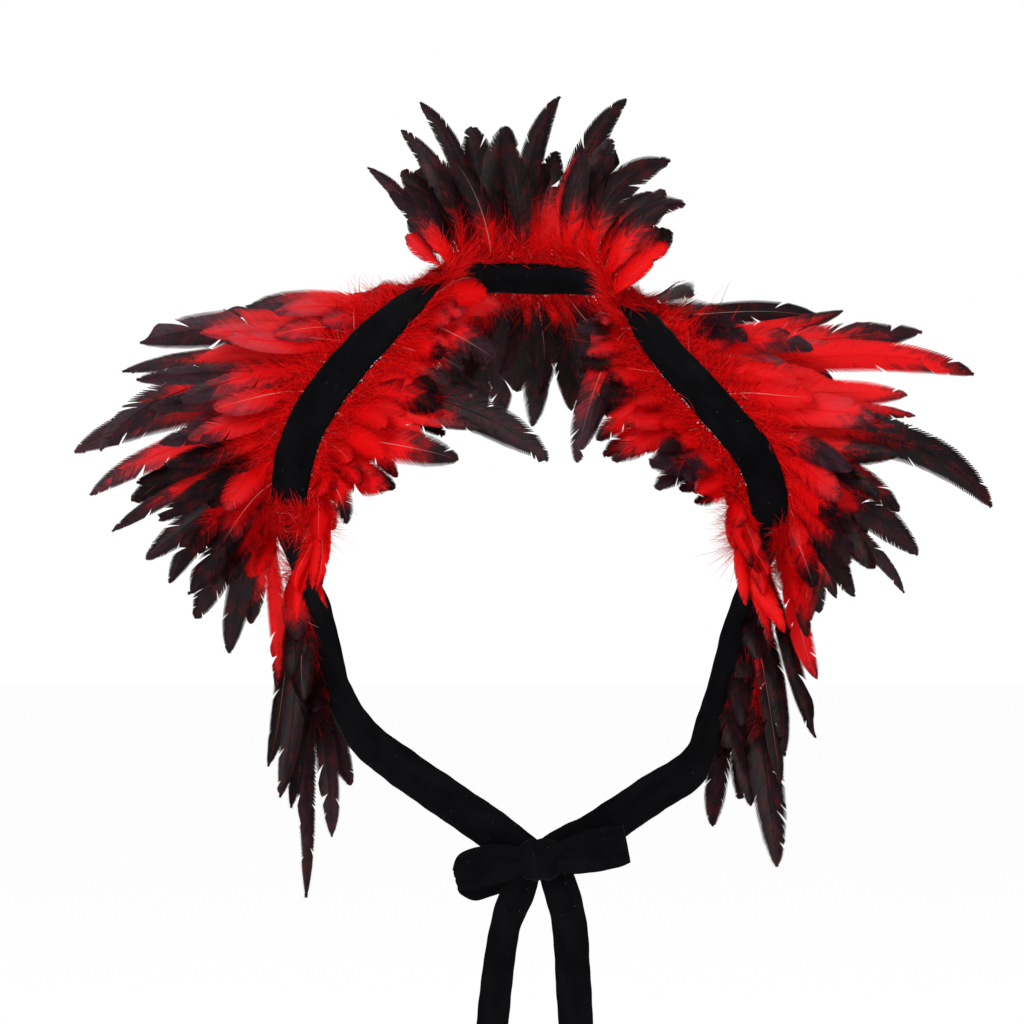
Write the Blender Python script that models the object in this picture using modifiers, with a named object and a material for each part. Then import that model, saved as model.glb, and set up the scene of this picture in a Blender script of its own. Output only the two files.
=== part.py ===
"""A feather shoulder cape, worn: a velvet band runs from each side of the waist over the shoulders and
behind the neck, with strips of feathers under both of its edges. Ribbon ties close it in a bow at the front.

Metres, +Z up. The wearer faces -Y, and +X is the right of a picture taken from the front.
The origin is the centre of the neck opening, at the height of the band behind the neck.
"""

import math
from collections import namedtuple

import bmesh
import bpy
from mathutils import Vector
from mathutils.bvhtree import BVHTree

MM = 0.001

# Driving dimensions, in millimetres
RIBBON_WIDTH = 30.0
RIBBON_THICKNESS = 1.4
STRIP_WIDTH = 8.0
STRIP_THICKNESS = 1.8
SEAM_GAP = 0.3
TWIST_ROOM = 0.1
QUILL_INSET = 1.4
QUILL_REACH = 12.0
VANE_RIDGE = 1.3
VANE_CUP = 0.16
KNOT_SIZE = (34.0, 22.0, 32.0)
KNOT_CENTRE = (7.0, -122.0, -433.0)
KNOT_ROUNDING = 5.5
LOOP_DEPTH = 3.4
LOOP_PARTING = 1.6
LOOP_FORWARD = 4.0
LOOP_GATHER = 0.5
TIE_GATHER = 0.65
GATHER_LENGTH = 30.0
TAIL_WIDTH = 26.0

# The lie of the band on the wearer, from the nape outwards: a point, in millimetres, and the way it faces
Stop = namedtuple("Stop", "x y z face_x face_y face_z")
NAPE = Stop(0, 60, 2, 0.0, 0.75, 0.66)
RIGHT_STOPS = (
    Stop(34, 53, 1, 0.30, 0.65, 0.70),
    Stop(60, 30, -3, 0.55, 0.35, 0.76),
    Stop(72, 2, -14, 0.50, -0.05, 0.86),
    Stop(84, -24, -33, 0.30, -0.45, 0.84),
    Stop(100, -46, -56, 0.15, -0.72, 0.68),
    Stop(121, -64, -80, 0.12, -0.86, 0.48),
    Stop(144, -78, -106, 0.18, -0.93, 0.30),
    Stop(163, -84, -129, 0.25, -0.95, 0.15),
    Stop(174, -83, -153, 0.32, -0.94, 0.05),
    Stop(177, -77, -177, 0.45, -0.89, 0.00),
    Stop(173, -67, -200, 0.62, -0.78, -0.05),
    Stop(163, -56, -226, 0.80, -0.60, 0.00),
    Stop(153, -48, -255, 0.80, -0.60, 0.00),
    Stop(144, -45, -290, 0.80, -0.60, 0.00),
    Stop(133, -46, -330, 0.78, -0.62, 0.00),
)
LEFT_STOPS = (
    Stop(-34, 53, 3, -0.30, 0.65, 0.70),
    Stop(-59, 32, 4, -0.55, 0.35, 0.76),
    Stop(-71, 5, -2, -0.50, -0.05, 0.86),
    Stop(-85, -21, -16, -0.30, -0.45, 0.84),
    Stop(-106, -45, -36, -0.15, -0.72, 0.68),
    Stop(-130, -64, -61, -0.12, -0.86, 0.48),
    Stop(-151, -77, -87, -0.18, -0.93, 0.30),
    Stop(-166, -84, -112, -0.25, -0.95, 0.15),
    Stop(-175, -84, -138, -0.32, -0.94, 0.05),
    Stop(-178, -79, -164, -0.45, -0.89, 0.00),
    Stop(-176, -71, -190, -0.62, -0.78, -0.05),
    Stop(-168, -60, -216, -0.80, -0.60, 0.00),
    Stop(-157, -51, -243, -0.80, -0.60, 0.00),
    Stop(-149, -47, -274, -0.80, -0.60, 0.00),
    Stop(-141, -47, -310, -0.78, -0.62, 0.00),
)

# The ties lie on the waist, from the lower end of a side strap to the knot
TIE_LEFT_STOPS = (
    Stop(-123, -66, -342, -0.66, -0.75, 0.0),
    Stop(-96, -88, -364, -0.45, -0.89, 0.0),
    Stop(-60, -105, -389, -0.24, -0.97, 0.0),
    Stop(-28, -114, -411, -0.10, -0.99, 0.0),
    Stop(-12.4, -116, -422.0, -0.02, -1.00, 0.0),
)
TIE_RIGHT_STOPS = (
    Stop(121, -64, -364, 0.66, -0.75, 0.0),
    Stop(90, -90, -385, 0.42, -0.91, 0.0),
    Stop(54, -107, -409, 0.22, -0.97, 0.0),
    Stop(40, -113, -417, 0.10, -0.99, 0.0),
    Stop(25.2, -116, -423, 0.02, -1.00, 0.0),
)
TAIL_LEFT_STOPS = (
    Stop(-5, -119, -449.4, 0.30, -0.95, 0.0),
    Stop(-18, -119, -478, 0.52, -0.85, 0.0),
    Stop(-25, -121, -520, 0.50, -0.87, 0.0),
    Stop(-30, -121, -570, 0.42, -0.91, 0.0),
    Stop(-37, -118, -640, 0.34, -0.94, 0.0),
)
TAIL_RIGHT_STOPS = (
    Stop(21, -119, -449.2, -0.15, -0.99, 0.0),
    Stop(29, -121, -480, -0.10, -0.99, 0.0),
    Stop(32, -123, -525, 0.00, -1.00, 0.0),
    Stop(35, -121, -580, 0.08, -0.99, 0.0),
    Stop(38, -117, -655, 0.15, -0.98, 0.0),
)

# Feathers that make the outline: where each leaves the band, its tip, its width, and how far it arches, as a
# share of its length
Plume = namedtuple("Plume", "stop tip_x tip_y tip_z width bow")
SHOULDER_LEFT_PLUMES = (
    Plume(-4.2, -210, 0, -22, 27, 0.03),
    Plume(-4.9, -234, 20, -27, 13, 0.05),
    Plume(-5.6, -292, -20, -49, 30, 0.10),
    Plume(-6.2, -304, -60, -71, 16, 0.06),
    Plume(-6.8, -320, -75, -130, 30, 0.26),
    Plume(-7.5, -340, -45, -131, 26, 0.12),
    Plume(-8.0, -327, -95, -163, 22, 0.12),
    Plume(-8.6, -298, -30, -167, 30, 0.05),
    Plume(-8.9, -311, -80, -190, 14, 0.07),
    Plume(-9.5, -286, -65, -211, 24, 0.06),
    Plume(-10.1, -250, -40, -255, 26, 0.05),
    Plume(-10.4, -225, -70, -281, 22, 0.06),
    Plume(-10.7, -209, -30, -259, 20, 0.05),
    Plume(-10.95, -190, -95, -308, 15, -0.06),
)
SHOULDER_RIGHT_PLUMES = (
    Plume(3.6, 221, 30, -31, 18, 0.10),
    Plume(4.6, 234, -30, -25, 15, -0.08),
    Plume(5.4, 293, -25, -41, 27, 0.02),
    Plume(6.0, 331, -55, -73, 25, 0.14),
    Plume(6.7, 280, -105, -89, 22, 0.03),
    Plume(7.3, 287, -60, -104, 14, 0.07),
    Plume(7.8, 343, -85, -172, 30, 0.28),
    Plume(8.4, 273, -100, -133, 22, 0.03),
    Plume(9.0, 289, -50, -208, 28, 0.15),
    Plume(9.4, 280, -20, -236, 13, 0.12),
    Plume(9.9, 238, -60, -232, 22, 0.10),
    Plume(10.2, 229, -25, -240, 14, 0.08),
    Plume(10.5, 202, -95, -236, 22, 0.08),
    Plume(10.75, 206, -75, -269, 15, 0.05),
    Plume(10.95, 214, -100, -300, 19, -0.07),
)
CHEST_LEFT_PLUMES = (
    Plume(-4.6, -26, -92, -62, 26, 0.05),
    Plume(-6.2, 13, -128, -138, 30, 0.14),
    Plume(-6.9, -36, -122, -114, 18, 0.05),
    Plume(-7.9, -53, -132, -137, 28, 0.04),
    Plume(-9.0, -103, -122, -156, 28, -0.08),
    Plume(-10.4, -150, -118, -247, 11, -0.12),
)
CHEST_RIGHT_PLUMES = (
    Plume(4.2, 35, -92, -139, 24, 0.08),
    Plume(4.6, 46, -78, -117, 12, 0.05),
    Plume(5.3, 52, -100, -92, 24, 0.05),
    Plume(6.6, 61, -115, -138, 24, 0.08),
    Plume(7.8, 88, -124, -140, 26, 0.05),
    Plume(8.8, 121, -126, -168, 20, -0.05),
)
COLLAR_PLUMES = (
    Plume(-3.5, -122, 5, 83, 15, 0.16),
    Plume(-3.2, -106, -15, 64, 16, 0.14),
    Plume(-2.7, -97, 40, 112, 18, 0.18),
    Plume(-2.2, -83, 70, 134, 19, 0.20),
    Plume(-2.0, -84, 40, 92, 22, 0.14),
    Plume(-1.3, -45, 95, 116, 34, 0.04),
    Plume(-0.9, -17, 98, 116, 34, 0.04),
    Plume(-0.3, 23, 105, 139, 20, 0.16),
    Plume(0.6, 73, 90, 137, 23, 0.16),
    Plume(1.4, 62, 78, 106, 27, 0.08),
    Plume(2.0, 106, 60, 89, 28, 0.40),
    Plume(2.5, 117, 35, 56, 24, 0.40),
    Plume(3.2, 88, 5, 23, 11, 0.30),
)
BACK_PLUMES = (
    Plume(2.3, 125, 92, -12, 26, 0.16),
    Plume(1.7, 175, 110, -62, 26, 0.10),
    Plume(0.6, 45, 100, -117, 24, 0.0),
    Plume(0.0, 8, 108, -96, 24, 0.0),
    Plume(-0.5, -22, 102, -104, 24, 0.0),
    Plume(-1.7, -172, 112, -68, 26, 0.10),
    Plume(-2.3, -128, 94, -22, 26, 0.12),
)
SIDE_LEFT_PLUMES = (
    Plume(-12.3, -196, -44, -366, 17, -0.05),
    Plume(-12.7, -186, -58, -388, 18, -0.04),
    Plume(-13.0, -178, -72, -396, 17, -0.03),
    Plume(-13.4, -170, -54, -417, 16, -0.02),
    Plume(-13.8, -167, -68, -463, 13, 0.0),
    Plume(-14.2, -148, -82, -418, 18, 0.03),
    Plume(-14.6, -134, -74, -380, 20, -0.05),
)
SIDE_RIGHT_PLUMES = (
    Plume(11.7, 213, -62, -344, 15, -0.03),
    Plume(12.3, 190, -48, -358, 16, 0.04),
    Plume(12.8, 187, -72, -380, 15, 0.02),
    Plume(13.4, 184, -66, -440, 27, 0.02),
    Plume(14.0, 165, -82, -395, 20, 0.0),
    Plume(14.6, 136, -84, -410, 20, 0.03),
)

# Feathers between those, dealt out along a strip: where, their bearing seen from the front, in degrees, their
# length, how far the tip stands behind the root, and how many
Fan = namedtuple("Fan", "stop bearing length depth")
SHOULDER_LEFT_FAN = (
    Fan(-3.0, 204, 55, 20), Fan(-4.2, 190, 78, 20), Fan(-5.0, 179, 112, 20), Fan(-7.0, 182, 135, 5),
    Fan(-9.0, 208, 112, 0), Fan(-10.9, 246, 85, 10),
)
SHOULDER_RIGHT_FAN = (
    Fan(3.0, -24, 55, 20), Fan(4.2, -10, 78, 20), Fan(5.0, 1, 112, 20), Fan(7.0, -2, 125, 5),
    Fan(8.0, -14, 98, 0), Fan(9.0, -30, 108, 0), Fan(9.9, -46, 84, 0), Fan(10.9, -64, 80, 10),
)
CHEST_LEFT_FAN = (
    Fan(-4.0, -8, 62, -20), Fan(-6.0, -26, 85, -28), Fan(-8.0, -25, 85, -28), Fan(-8.5, -35, 60, -25),
    Fan(-9.0, -60, 58, -25), Fan(-10.9, -82, 90, -25),
)
CHEST_RIGHT_FAN = (
    Fan(4.0, 192, 60, -20), Fan(6.0, 206, 78, -28), Fan(8.0, 202, 75, -28), Fan(8.5, 206, 48, -25),
    Fan(9.0, 250, 50, -25), Fan(10.9, 270, 84, -25),
)
COLLAR_FAN = (
    Fan(-3.5, 118, 66, 12), Fan(-1.8, 106, 88, 34), Fan(0.0, 90, 96, 42), Fan(1.8, 74, 88, 34),
    Fan(3.5, 62, 62, 12),
)
BACK_FAN = (
    Fan(-2.5, 204, 115, 40), Fan(-1.2, 240, 118, 42), Fan(0.0, 270, 98, 40), Fan(1.2, 300, 118, 42),
    Fan(2.5, 336, 115, 40),
)
SIDE_LEFT_FAN = (Fan(-12.0, 262, 90, 4), Fan(-14.7, 264, 88, -12))
SIDE_RIGHT_FAN = (Fan(11.4, 284, 95, 4), Fan(14.7, 276, 80, -12))

# A row of feathers: the strip that holds it, which edge of the band that is under (+1 is the outer edge), which
# face of the band its feathers show (+1 is the outer face), the way their tips face, and its feathers
Row = namedtuple("Row", "name start end edge show faces plumes fan count spread")
FRONT = Vector((0.0, -1.0, 0.15))
REAR = Vector((0.0, 1.0, 0.25))
ROWS = (
    Row("collar_feathers", -3.65, 3.65, -1, -1, FRONT, COLLAR_PLUMES, COLLAR_FAN, 18, 14),
    Row("back_feathers", -2.6, 2.6, 1, 1, REAR, BACK_PLUMES, BACK_FAN, 18, 16),
    Row("shoulder_feathers_left", -11.0, -2.8, 1, 1, FRONT, SHOULDER_LEFT_PLUMES, SHOULDER_LEFT_FAN, 24, 38),
    Row("shoulder_feathers_right", 2.8, 11.0, 1, 1, FRONT, SHOULDER_RIGHT_PLUMES, SHOULDER_RIGHT_FAN, 24, 38),
    Row("chest_feathers_left", -11.0, -3.85, -1, 1, FRONT, CHEST_LEFT_PLUMES, CHEST_LEFT_FAN, 12, 16),
    Row("chest_feathers_right", 3.85, 11.0, -1, 1, FRONT, CHEST_RIGHT_PLUMES, CHEST_RIGHT_FAN, 12, 16),
    Row("side_feathers_left", -14.8, -11.9, 1, 1, FRONT, SIDE_LEFT_PLUMES, SIDE_LEFT_FAN, 4, 10),
    Row("side_feathers_right", 11.3, 14.8, 1, 1, FRONT, SIDE_RIGHT_PLUMES, SIDE_RIGHT_FAN, 4, 10),
)

# How filling feathers differ from each other: by a golden-ratio sequence, which never bunches up
GOLDEN = 0.618034
FILL_WIDTH = 24.0
FILL_SWING = 16.0
FILL_ROLL = 14.0
OUTLINE_ROLL = 10.0

# One feather: where it leaves the band, its tip, its width, its arch and its roll on the quill in degrees
Feather = namedtuple("Feather", "stop tip width bow roll")

# Rings of a vane from its quill to just short of its tip: share of the length, share of the width, and how far
# it turns there from the way it faced before to the way that its row faces
VANE_RINGS = ((0.0, 0.12, 0.0), (0.13, 0.28, 0.2), (0.37, 0.90, 0.4), (0.63, 1.0, 0.6), (0.85, 0.66, 0.8))

# How far a tip is moved at a time, back or forwards, and how often, to bring its feather into the clear
SHIFT = 5.0
MOST_SHIFTS = 16

# Sections of a ribbon from one stop to the next
STATIONS = 4


# The route of a ribbon
class Route:
    """A smooth line through stops, with the way that a ribbon on it faces."""

    def __init__(self, stops, first=0):
        self.stops = stops
        self.first = first

    def blend(self, at, columns):
        """Catmull-Rom interpolation of some columns at a stop number, which may lie between two stops."""
        last = len(self.stops) - 1
        place = min(max(at - self.first, 0.0), float(last))
        i = min(int(place), last - 1)
        t = place - i
        rows = [self.stops[min(max(k, 0), last)] for k in (i - 1, i, i + 1, i + 2)]
        a, b, c, d = (Vector([getattr(row, column) for column in columns]) for row in rows)
        return 0.5 * (2 * b + (c - a) * t + (2 * a - 5 * b + 4 * c - d) * t**2 + (3 * b - a - 3 * c + d) * t**3)

    def lie(self, at):
        """Point, direction, facing and outward side of the ribbon at a stop number."""
        step = 0.01
        ahead = self.blend(at + step, ("x", "y", "z"))
        behind = self.blend(at - step, ("x", "y", "z"))
        point = self.blend(at, ("x", "y", "z"))
        along = (ahead - behind).normalized()
        face = self.blend(at, ("face_x", "face_y", "face_z"))
        face = (face - face.dot(along) * along).normalized()
        return point, along, face, face.cross(along)


LEFT_ROUTE = (*LEFT_STOPS, *TIE_LEFT_STOPS)
RIGHT_ROUTE = (*RIGHT_STOPS, *TIE_RIGHT_STOPS)
LOOP = Route((*reversed(LEFT_ROUTE), NAPE, *RIGHT_ROUTE), first=-len(LEFT_ROUTE))


# Meshes and objects
def finished(name, mesh, collection, material=None):
    """A new object in the collection, in its material."""
    thing = bpy.data.objects.new(name, mesh)
    collection.objects.link(thing)
    if material:
        mesh.materials.append(material)
    return thing


def bent_grid(name, steps, place):
    """An open sheet: a grid whose points go where place(along, across) says, for along 0 to 1, across -1 to 1."""
    mesh = bpy.data.meshes.new(name)
    shape = bmesh.new()
    bmesh.ops.create_grid(shape, x_segments=steps, y_segments=2, size=1.0)
    for vertex in shape.verts:
        vertex.co = place((vertex.co.x + 1) / 2, vertex.co.y) * MM
    shape.to_mesh(mesh)
    shape.free()
    return mesh


def gathered(lies, start, end):
    """Share of its width that a ribbon has at each lie, when the knot gathers its start and its end."""
    gone = [0.0]
    for here, ahead in zip(lies, lies[1:]):
        gone.append(gone[-1] + (ahead[0] - here[0]).length)
    shares = []
    for done in gone:
        near_start = max(0.0, 1 - done / GATHER_LENGTH) ** 2
        near_end = max(0.0, 1 - (gone[-1] - done) / GATHER_LENGTH) ** 2
        shares.append(1 - (1 - start) * near_start - (1 - end) * near_end)
    return shares


def ribbon(name, lies, width, offset, thickness, collection, material, gathers=(1.0, 1.0)):
    """A flat ribbon through the lies, its near face offset along the facing, with a wall of that thickness."""
    last = len(lies) - 1
    shares = gathered(lies, *gathers)

    def place(along, across):
        point, _, face, out = lies[round(along * last)]
        return point + out * (across * shares[round(along * last)] * width / 2) + face * offset

    thing = finished(name, bent_grid(name, last, place), collection, material)
    wall = thing.modifiers.new("wall", "SOLIDIFY")
    wall.thickness = thickness * MM
    wall.offset = 1.0 if facing_side(thing, lies) else -1.0
    wall.use_even_offset = False
    return thing


def facing_side(thing, lies):
    """True if the sheet's own faces look the way that the lies face."""
    middle = thing.data.polygons[len(thing.data.polygons) // 2]
    centre = middle.center / MM
    nearest = min(lies, key=lambda lie: (lie[0] - centre).length)
    return middle.normal.dot(nearest[2]) > 0


def lies_between(route, start, end):
    """The lies at both ends and at every station between, so that pieces along one route bend alike."""
    first, last = math.floor(start * STATIONS) + 1, math.ceil(end * STATIONS) - 1
    ats = [start, *(k / STATIONS for k in range(first, last + 1)), end]
    return [route.lie(at) for at in ats]


# Feathers
def spine(root, leave, tip, bow, t):
    """A point on a feather's quill: it leaves the strip flat, arches sideways by bow, and ends at the tip."""
    chord = tip - root
    across = math.hypot(chord.x, chord.z) or 1.0
    sign = 1.0 if chord.x > 0 else -1.0
    arch = Vector((-sign * chord.z, 0.0, sign * chord.x)) / across
    first = root + leave * (QUILL_REACH + 0.1 * chord.length)
    second = root + chord * 0.66 + arch * (bow * chord.length)
    s = 1 - t
    return root * s**3 + first * (3 * s * s * t) + second * (3 * s * t * t) + tip * t**3


def square_to(along, facing):
    """The part of a facing that lies square to a direction, as a unit vector."""
    return (facing - facing.dot(along) * along).normalized()


def vane(row, feather):
    """One feather as points and faces: a cupped blade, four-sided in section, that ends in a point."""
    point, _, face, out = LOOP.lie(feather.stop)
    side = out * row.edge
    root = point + side * (RIBBON_WIDTH / 2 - QUILL_INSET)
    chord = feather.tip - root
    flat = chord - chord.dot(face) * face
    leave = (side * 0.8 + flat.normalized() * 0.6).normalized()
    points = []
    unrolled = face * row.show
    for share, breadth, turned in VANE_RINGS:
        here = spine(root, leave, feather.tip, feather.bow, share)
        ahead = spine(root, leave, feather.tip, feather.bow, share + 0.02)
        along = (ahead - here).normalized()
        unrolled = (square_to(along, unrolled) * (1 - turned) + square_to(along, row.faces) * turned).normalized()
        roll = math.radians(feather.roll) * min(1.0, 3 * share)
        look = unrolled * math.cos(roll) - along.cross(unrolled) * math.sin(roll)
        across = along.cross(look)
        half = feather.width * breadth / 2
        cup = half * VANE_CUP * min(1.0, 4 * share)
        ridge = VANE_RIDGE * (0.35 + 0.65 * breadth)
        points += (
            here - across * half - look * cup,
            here - look * (ridge / 2),
            here + across * half - look * cup,
            here + look * (ridge / 2),
        )
    points.append(feather.tip)
    last = 4 * (len(VANE_RINGS) - 1)
    faces = [(3, 2, 1, 0)]
    # Both sides of a vane are split from its edges to its ridge, so a twisted vane keeps its thickness
    for ring in range(0, last, 4):
        for i in range(4):
            near, next_near = ring + i, ring + (i + 1) % 4
            far, next_far = near + 4, next_near + 4
            if i % 2:
                faces += [(near, next_near, far), (next_near, next_far, far)]
            else:
                faces += [(near, next_near, next_far), (near, next_far, far)]
    faces += [(last + i, last + (i + 1) % 4, last + 4) for i in range(4)]
    return points, faces


def beyond_quill(points, faces):
    """The part of a vane past its quill, which has to stand clear of its neighbours."""
    return points[4:], [tuple(i - 4 for i in face) for face in faces if min(face) >= 4]


def fan_at(fan, stop):
    """Bearing, length and depth of a fan at a stop, between its rows."""
    rows = sorted(fan)
    stop = min(max(stop, rows[0].stop), rows[-1].stop)
    for low, high in zip(rows, rows[1:]):
        if stop <= high.stop:
            break
    t = (stop - low.stop) / (high.stop - low.stop)
    return [a + (b - a) * t for a, b in zip(low[1:], high[1:])]


def filling(row):
    """The feathers between a row's outline ones."""
    for k in range(row.count):
        stop = row.start + (row.end - row.start) * (k + 0.5) / row.count
        bearing, length, depth = fan_at(row.fan, stop)
        swing = ((k * GOLDEN) % 1.0) - 0.5
        layer = k % 3 - 1
        angle = math.radians(bearing + FILL_SWING * swing)
        length *= 0.86 + 0.3 * ((k * GOLDEN * 2) % 1.0)
        root = LOOP.lie(stop)[0]
        tip = root + Vector((math.cos(angle) * length, depth + layer * row.spread, math.sin(angle) * length))
        yield Feather(stop, tip, FILL_WIDTH * (0.85 + 0.3 * swing), 0.05 + 0.1 * abs(swing), FILL_ROLL * layer)


def outline(row):
    """A row's outline feathers, each rolled a little on its quill."""
    for k, plume in enumerate(row.plumes):
        tip = Vector((plume.tip_x, plume.tip_y, plume.tip_z))
        yield Feather(plume.stop, tip, plume.width, plume.bow, OUTLINE_ROLL * (k % 3 - 1))


def surface(thing):
    """A finished piece's surface, in millimetres, to test for crossings."""
    mesh = thing.evaluated_get(bpy.context.evaluated_depsgraph_get()).to_mesh()
    return BVHTree.FromPolygons([v.co / MM for v in mesh.vertices], [tuple(p.vertices) for p in mesh.polygons])


def in_clear(row, feather, blades, whole):
    """The feather's shape with its tip moved the least back or forwards that lets it cross the fewest others."""
    best = None
    for step in range(2 * MOST_SHIFTS + 1):
        shift = SHIFT * ((step + 1) // 2) * (1 if step % 2 else -1)
        shape = vane(row, feather._replace(tip=feather.tip + Vector((0, shift, 0))))
        blade = BVHTree.FromPolygons(*beyond_quill(*shape))
        body = BVHTree.FromPolygons(*shape)
        met = sum(1 for other in blades if other.overlap(blade))
        met += sum(1 for name, other in whole if name != row.name and other.overlap(body))
        if best is None or met < best[0]:
            best = (met, shape, blade, body)
        if not met:
            break
    return best


def laid_out(rows, ribbons):
    """Every row's feathers, outline ones first. A filling feather that can't lie clear of the rest is left out."""
    whole = [("ribbon", surface(piece)) for piece in ribbons]
    blades, placed = [], {row.name: [] for row in rows}
    for feathers, needed in ((outline, True), (filling, False)):
        for row in rows:
            for feather in feathers(row):
                met, shape, blade, body = in_clear(row, feather, blades, whole)
                if needed or not met:
                    placed[row.name].append(shape)
                    blades.append(blade)
                    whole.append((row.name, body))
    return placed


def feather_row(row, vanes, pieces, guides, strip_material):
    """A strip under one edge of the band, with its feathers joined to it."""
    lies = lies_between(LOOP, row.start, row.end)
    steps = len(lies) - 1
    inset = row.edge * (RIBBON_WIDTH - STRIP_WIDTH) / 2

    def place(along, across):
        point, _, face, out = lies[round(along * steps)]
        return point + out * (inset + across * STRIP_WIDTH / 2) - face * (STRIP_THICKNESS / 2)

    strip = finished(row.name, bent_grid(row.name, steps, place), pieces, strip_material)
    wall = strip.modifiers.new("wall", "SOLIDIFY")
    wall.thickness = STRIP_THICKNESS * MM
    wall.offset = 1.0 if facing_side(strip, lies) else -1.0

    blades = bpy.data.collections.new(row.name + "_blades")
    guides.children.link(blades)
    for k, (points, faces) in enumerate(vanes):
        mesh = bpy.data.meshes.new(f"{row.name}_{k}")
        mesh.from_pydata([point * MM for point in points], [], faces)
        shape = bmesh.new()
        shape.from_mesh(mesh)
        bmesh.ops.recalc_face_normals(shape, faces=shape.faces)
        shape.to_mesh(mesh)
        shape.free()
        blade = finished(mesh.name, mesh, blades)
        blade.hide_render = True
        blade.display_type = "WIRE"
    join = strip.modifiers.new("blades", "BOOLEAN")
    join.operation = "UNION"
    # The exact solver leaves open edges where neighbouring quills run into each other
    join.solver = "MANIFOLD"
    join.operand_type = "COLLECTION"
    join.collection = blades
    keep_outer_shell(strip)


def keep_outer_shell(thing):
    """Applies a piece's modifiers and fills the sealed pockets between its crossing vanes."""
    bpy.context.view_layer.update()
    evaluated = thing.evaluated_get(bpy.context.evaluated_depsgraph_get())
    mesh = bpy.data.meshes.new_from_object(evaluated)
    shape = bmesh.new()
    shape.from_mesh(mesh)
    shells = []
    seen = set()
    for first in shape.faces:
        if first in seen:
            continue
        shell = [first]
        seen.add(first)
        for face in shell:
            for edge in face.edges:
                for neighbour in edge.link_faces:
                    if neighbour not in seen:
                        seen.add(neighbour)
                        shell.append(neighbour)
        shells.append(shell)
    outer = max(shells, key=len)
    pockets = [face for shell in shells if shell is not outer for face in shell]
    bmesh.ops.delete(shape, geom=pockets, context="FACES")
    shape.to_mesh(mesh)
    shape.free()
    thing.modifiers.clear()
    thing.data = mesh


# The bow
def loop_lies(start, reach, droop, side, steps):
    """A bow loop's lies: out from the knot, round a fold and back, drooping by an angle in degrees."""
    angle = math.radians(droop)
    axis = Vector((side * math.cos(angle), 0.0, -math.sin(angle)))
    width = Vector((side * math.sin(angle), 0.0, math.cos(angle)))
    lies = []
    for i in range(steps + 1):
        turn = 2 * math.pi * i / steps
        out = reach * math.sin(turn / 2)
        deep = LOOP_DEPTH * math.sin(turn) + LOOP_PARTING * math.cos(turn / 2)
        out_rate = reach * math.cos(turn / 2) / 2
        deep_rate = LOOP_DEPTH * math.cos(turn) - LOOP_PARTING * math.sin(turn / 2) / 2
        along = (axis * out_rate + Vector((0, 1, 0)) * deep_rate).normalized()
        lies.append((start + axis * out + Vector((0, deep, 0)), along, width.cross(along), width))
    return lies


def knot(pieces, material):
    """The knot: a block with well rounded edges."""
    mesh = bpy.data.meshes.new("bow_knot")
    shape = bmesh.new()
    bmesh.ops.create_cube(shape, size=1.0)
    size = Vector(KNOT_SIZE)
    for vertex in shape.verts:
        vertex.co = Vector([c * s for c, s in zip(vertex.co, size)]) * MM
    shape.to_mesh(mesh)
    shape.free()
    thing = finished("bow_knot", mesh, pieces, material)
    thing.location = Vector(KNOT_CENTRE) * MM
    rounding = thing.modifiers.new("rounding", "BEVEL")
    rounding.width = KNOT_ROUNDING * MM
    rounding.segments = 3


# Materials
def finish(name, colour, roughness):
    material = bpy.data.materials.new(name)
    material.use_nodes = True
    shader = material.node_tree.nodes["Principled BSDF"]
    shader.inputs["Base Color"].default_value = (*colour, 1.0)
    shader.inputs["Roughness"].default_value = roughness
    shader.inputs["Metallic"].default_value = 0.0
    return material


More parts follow.
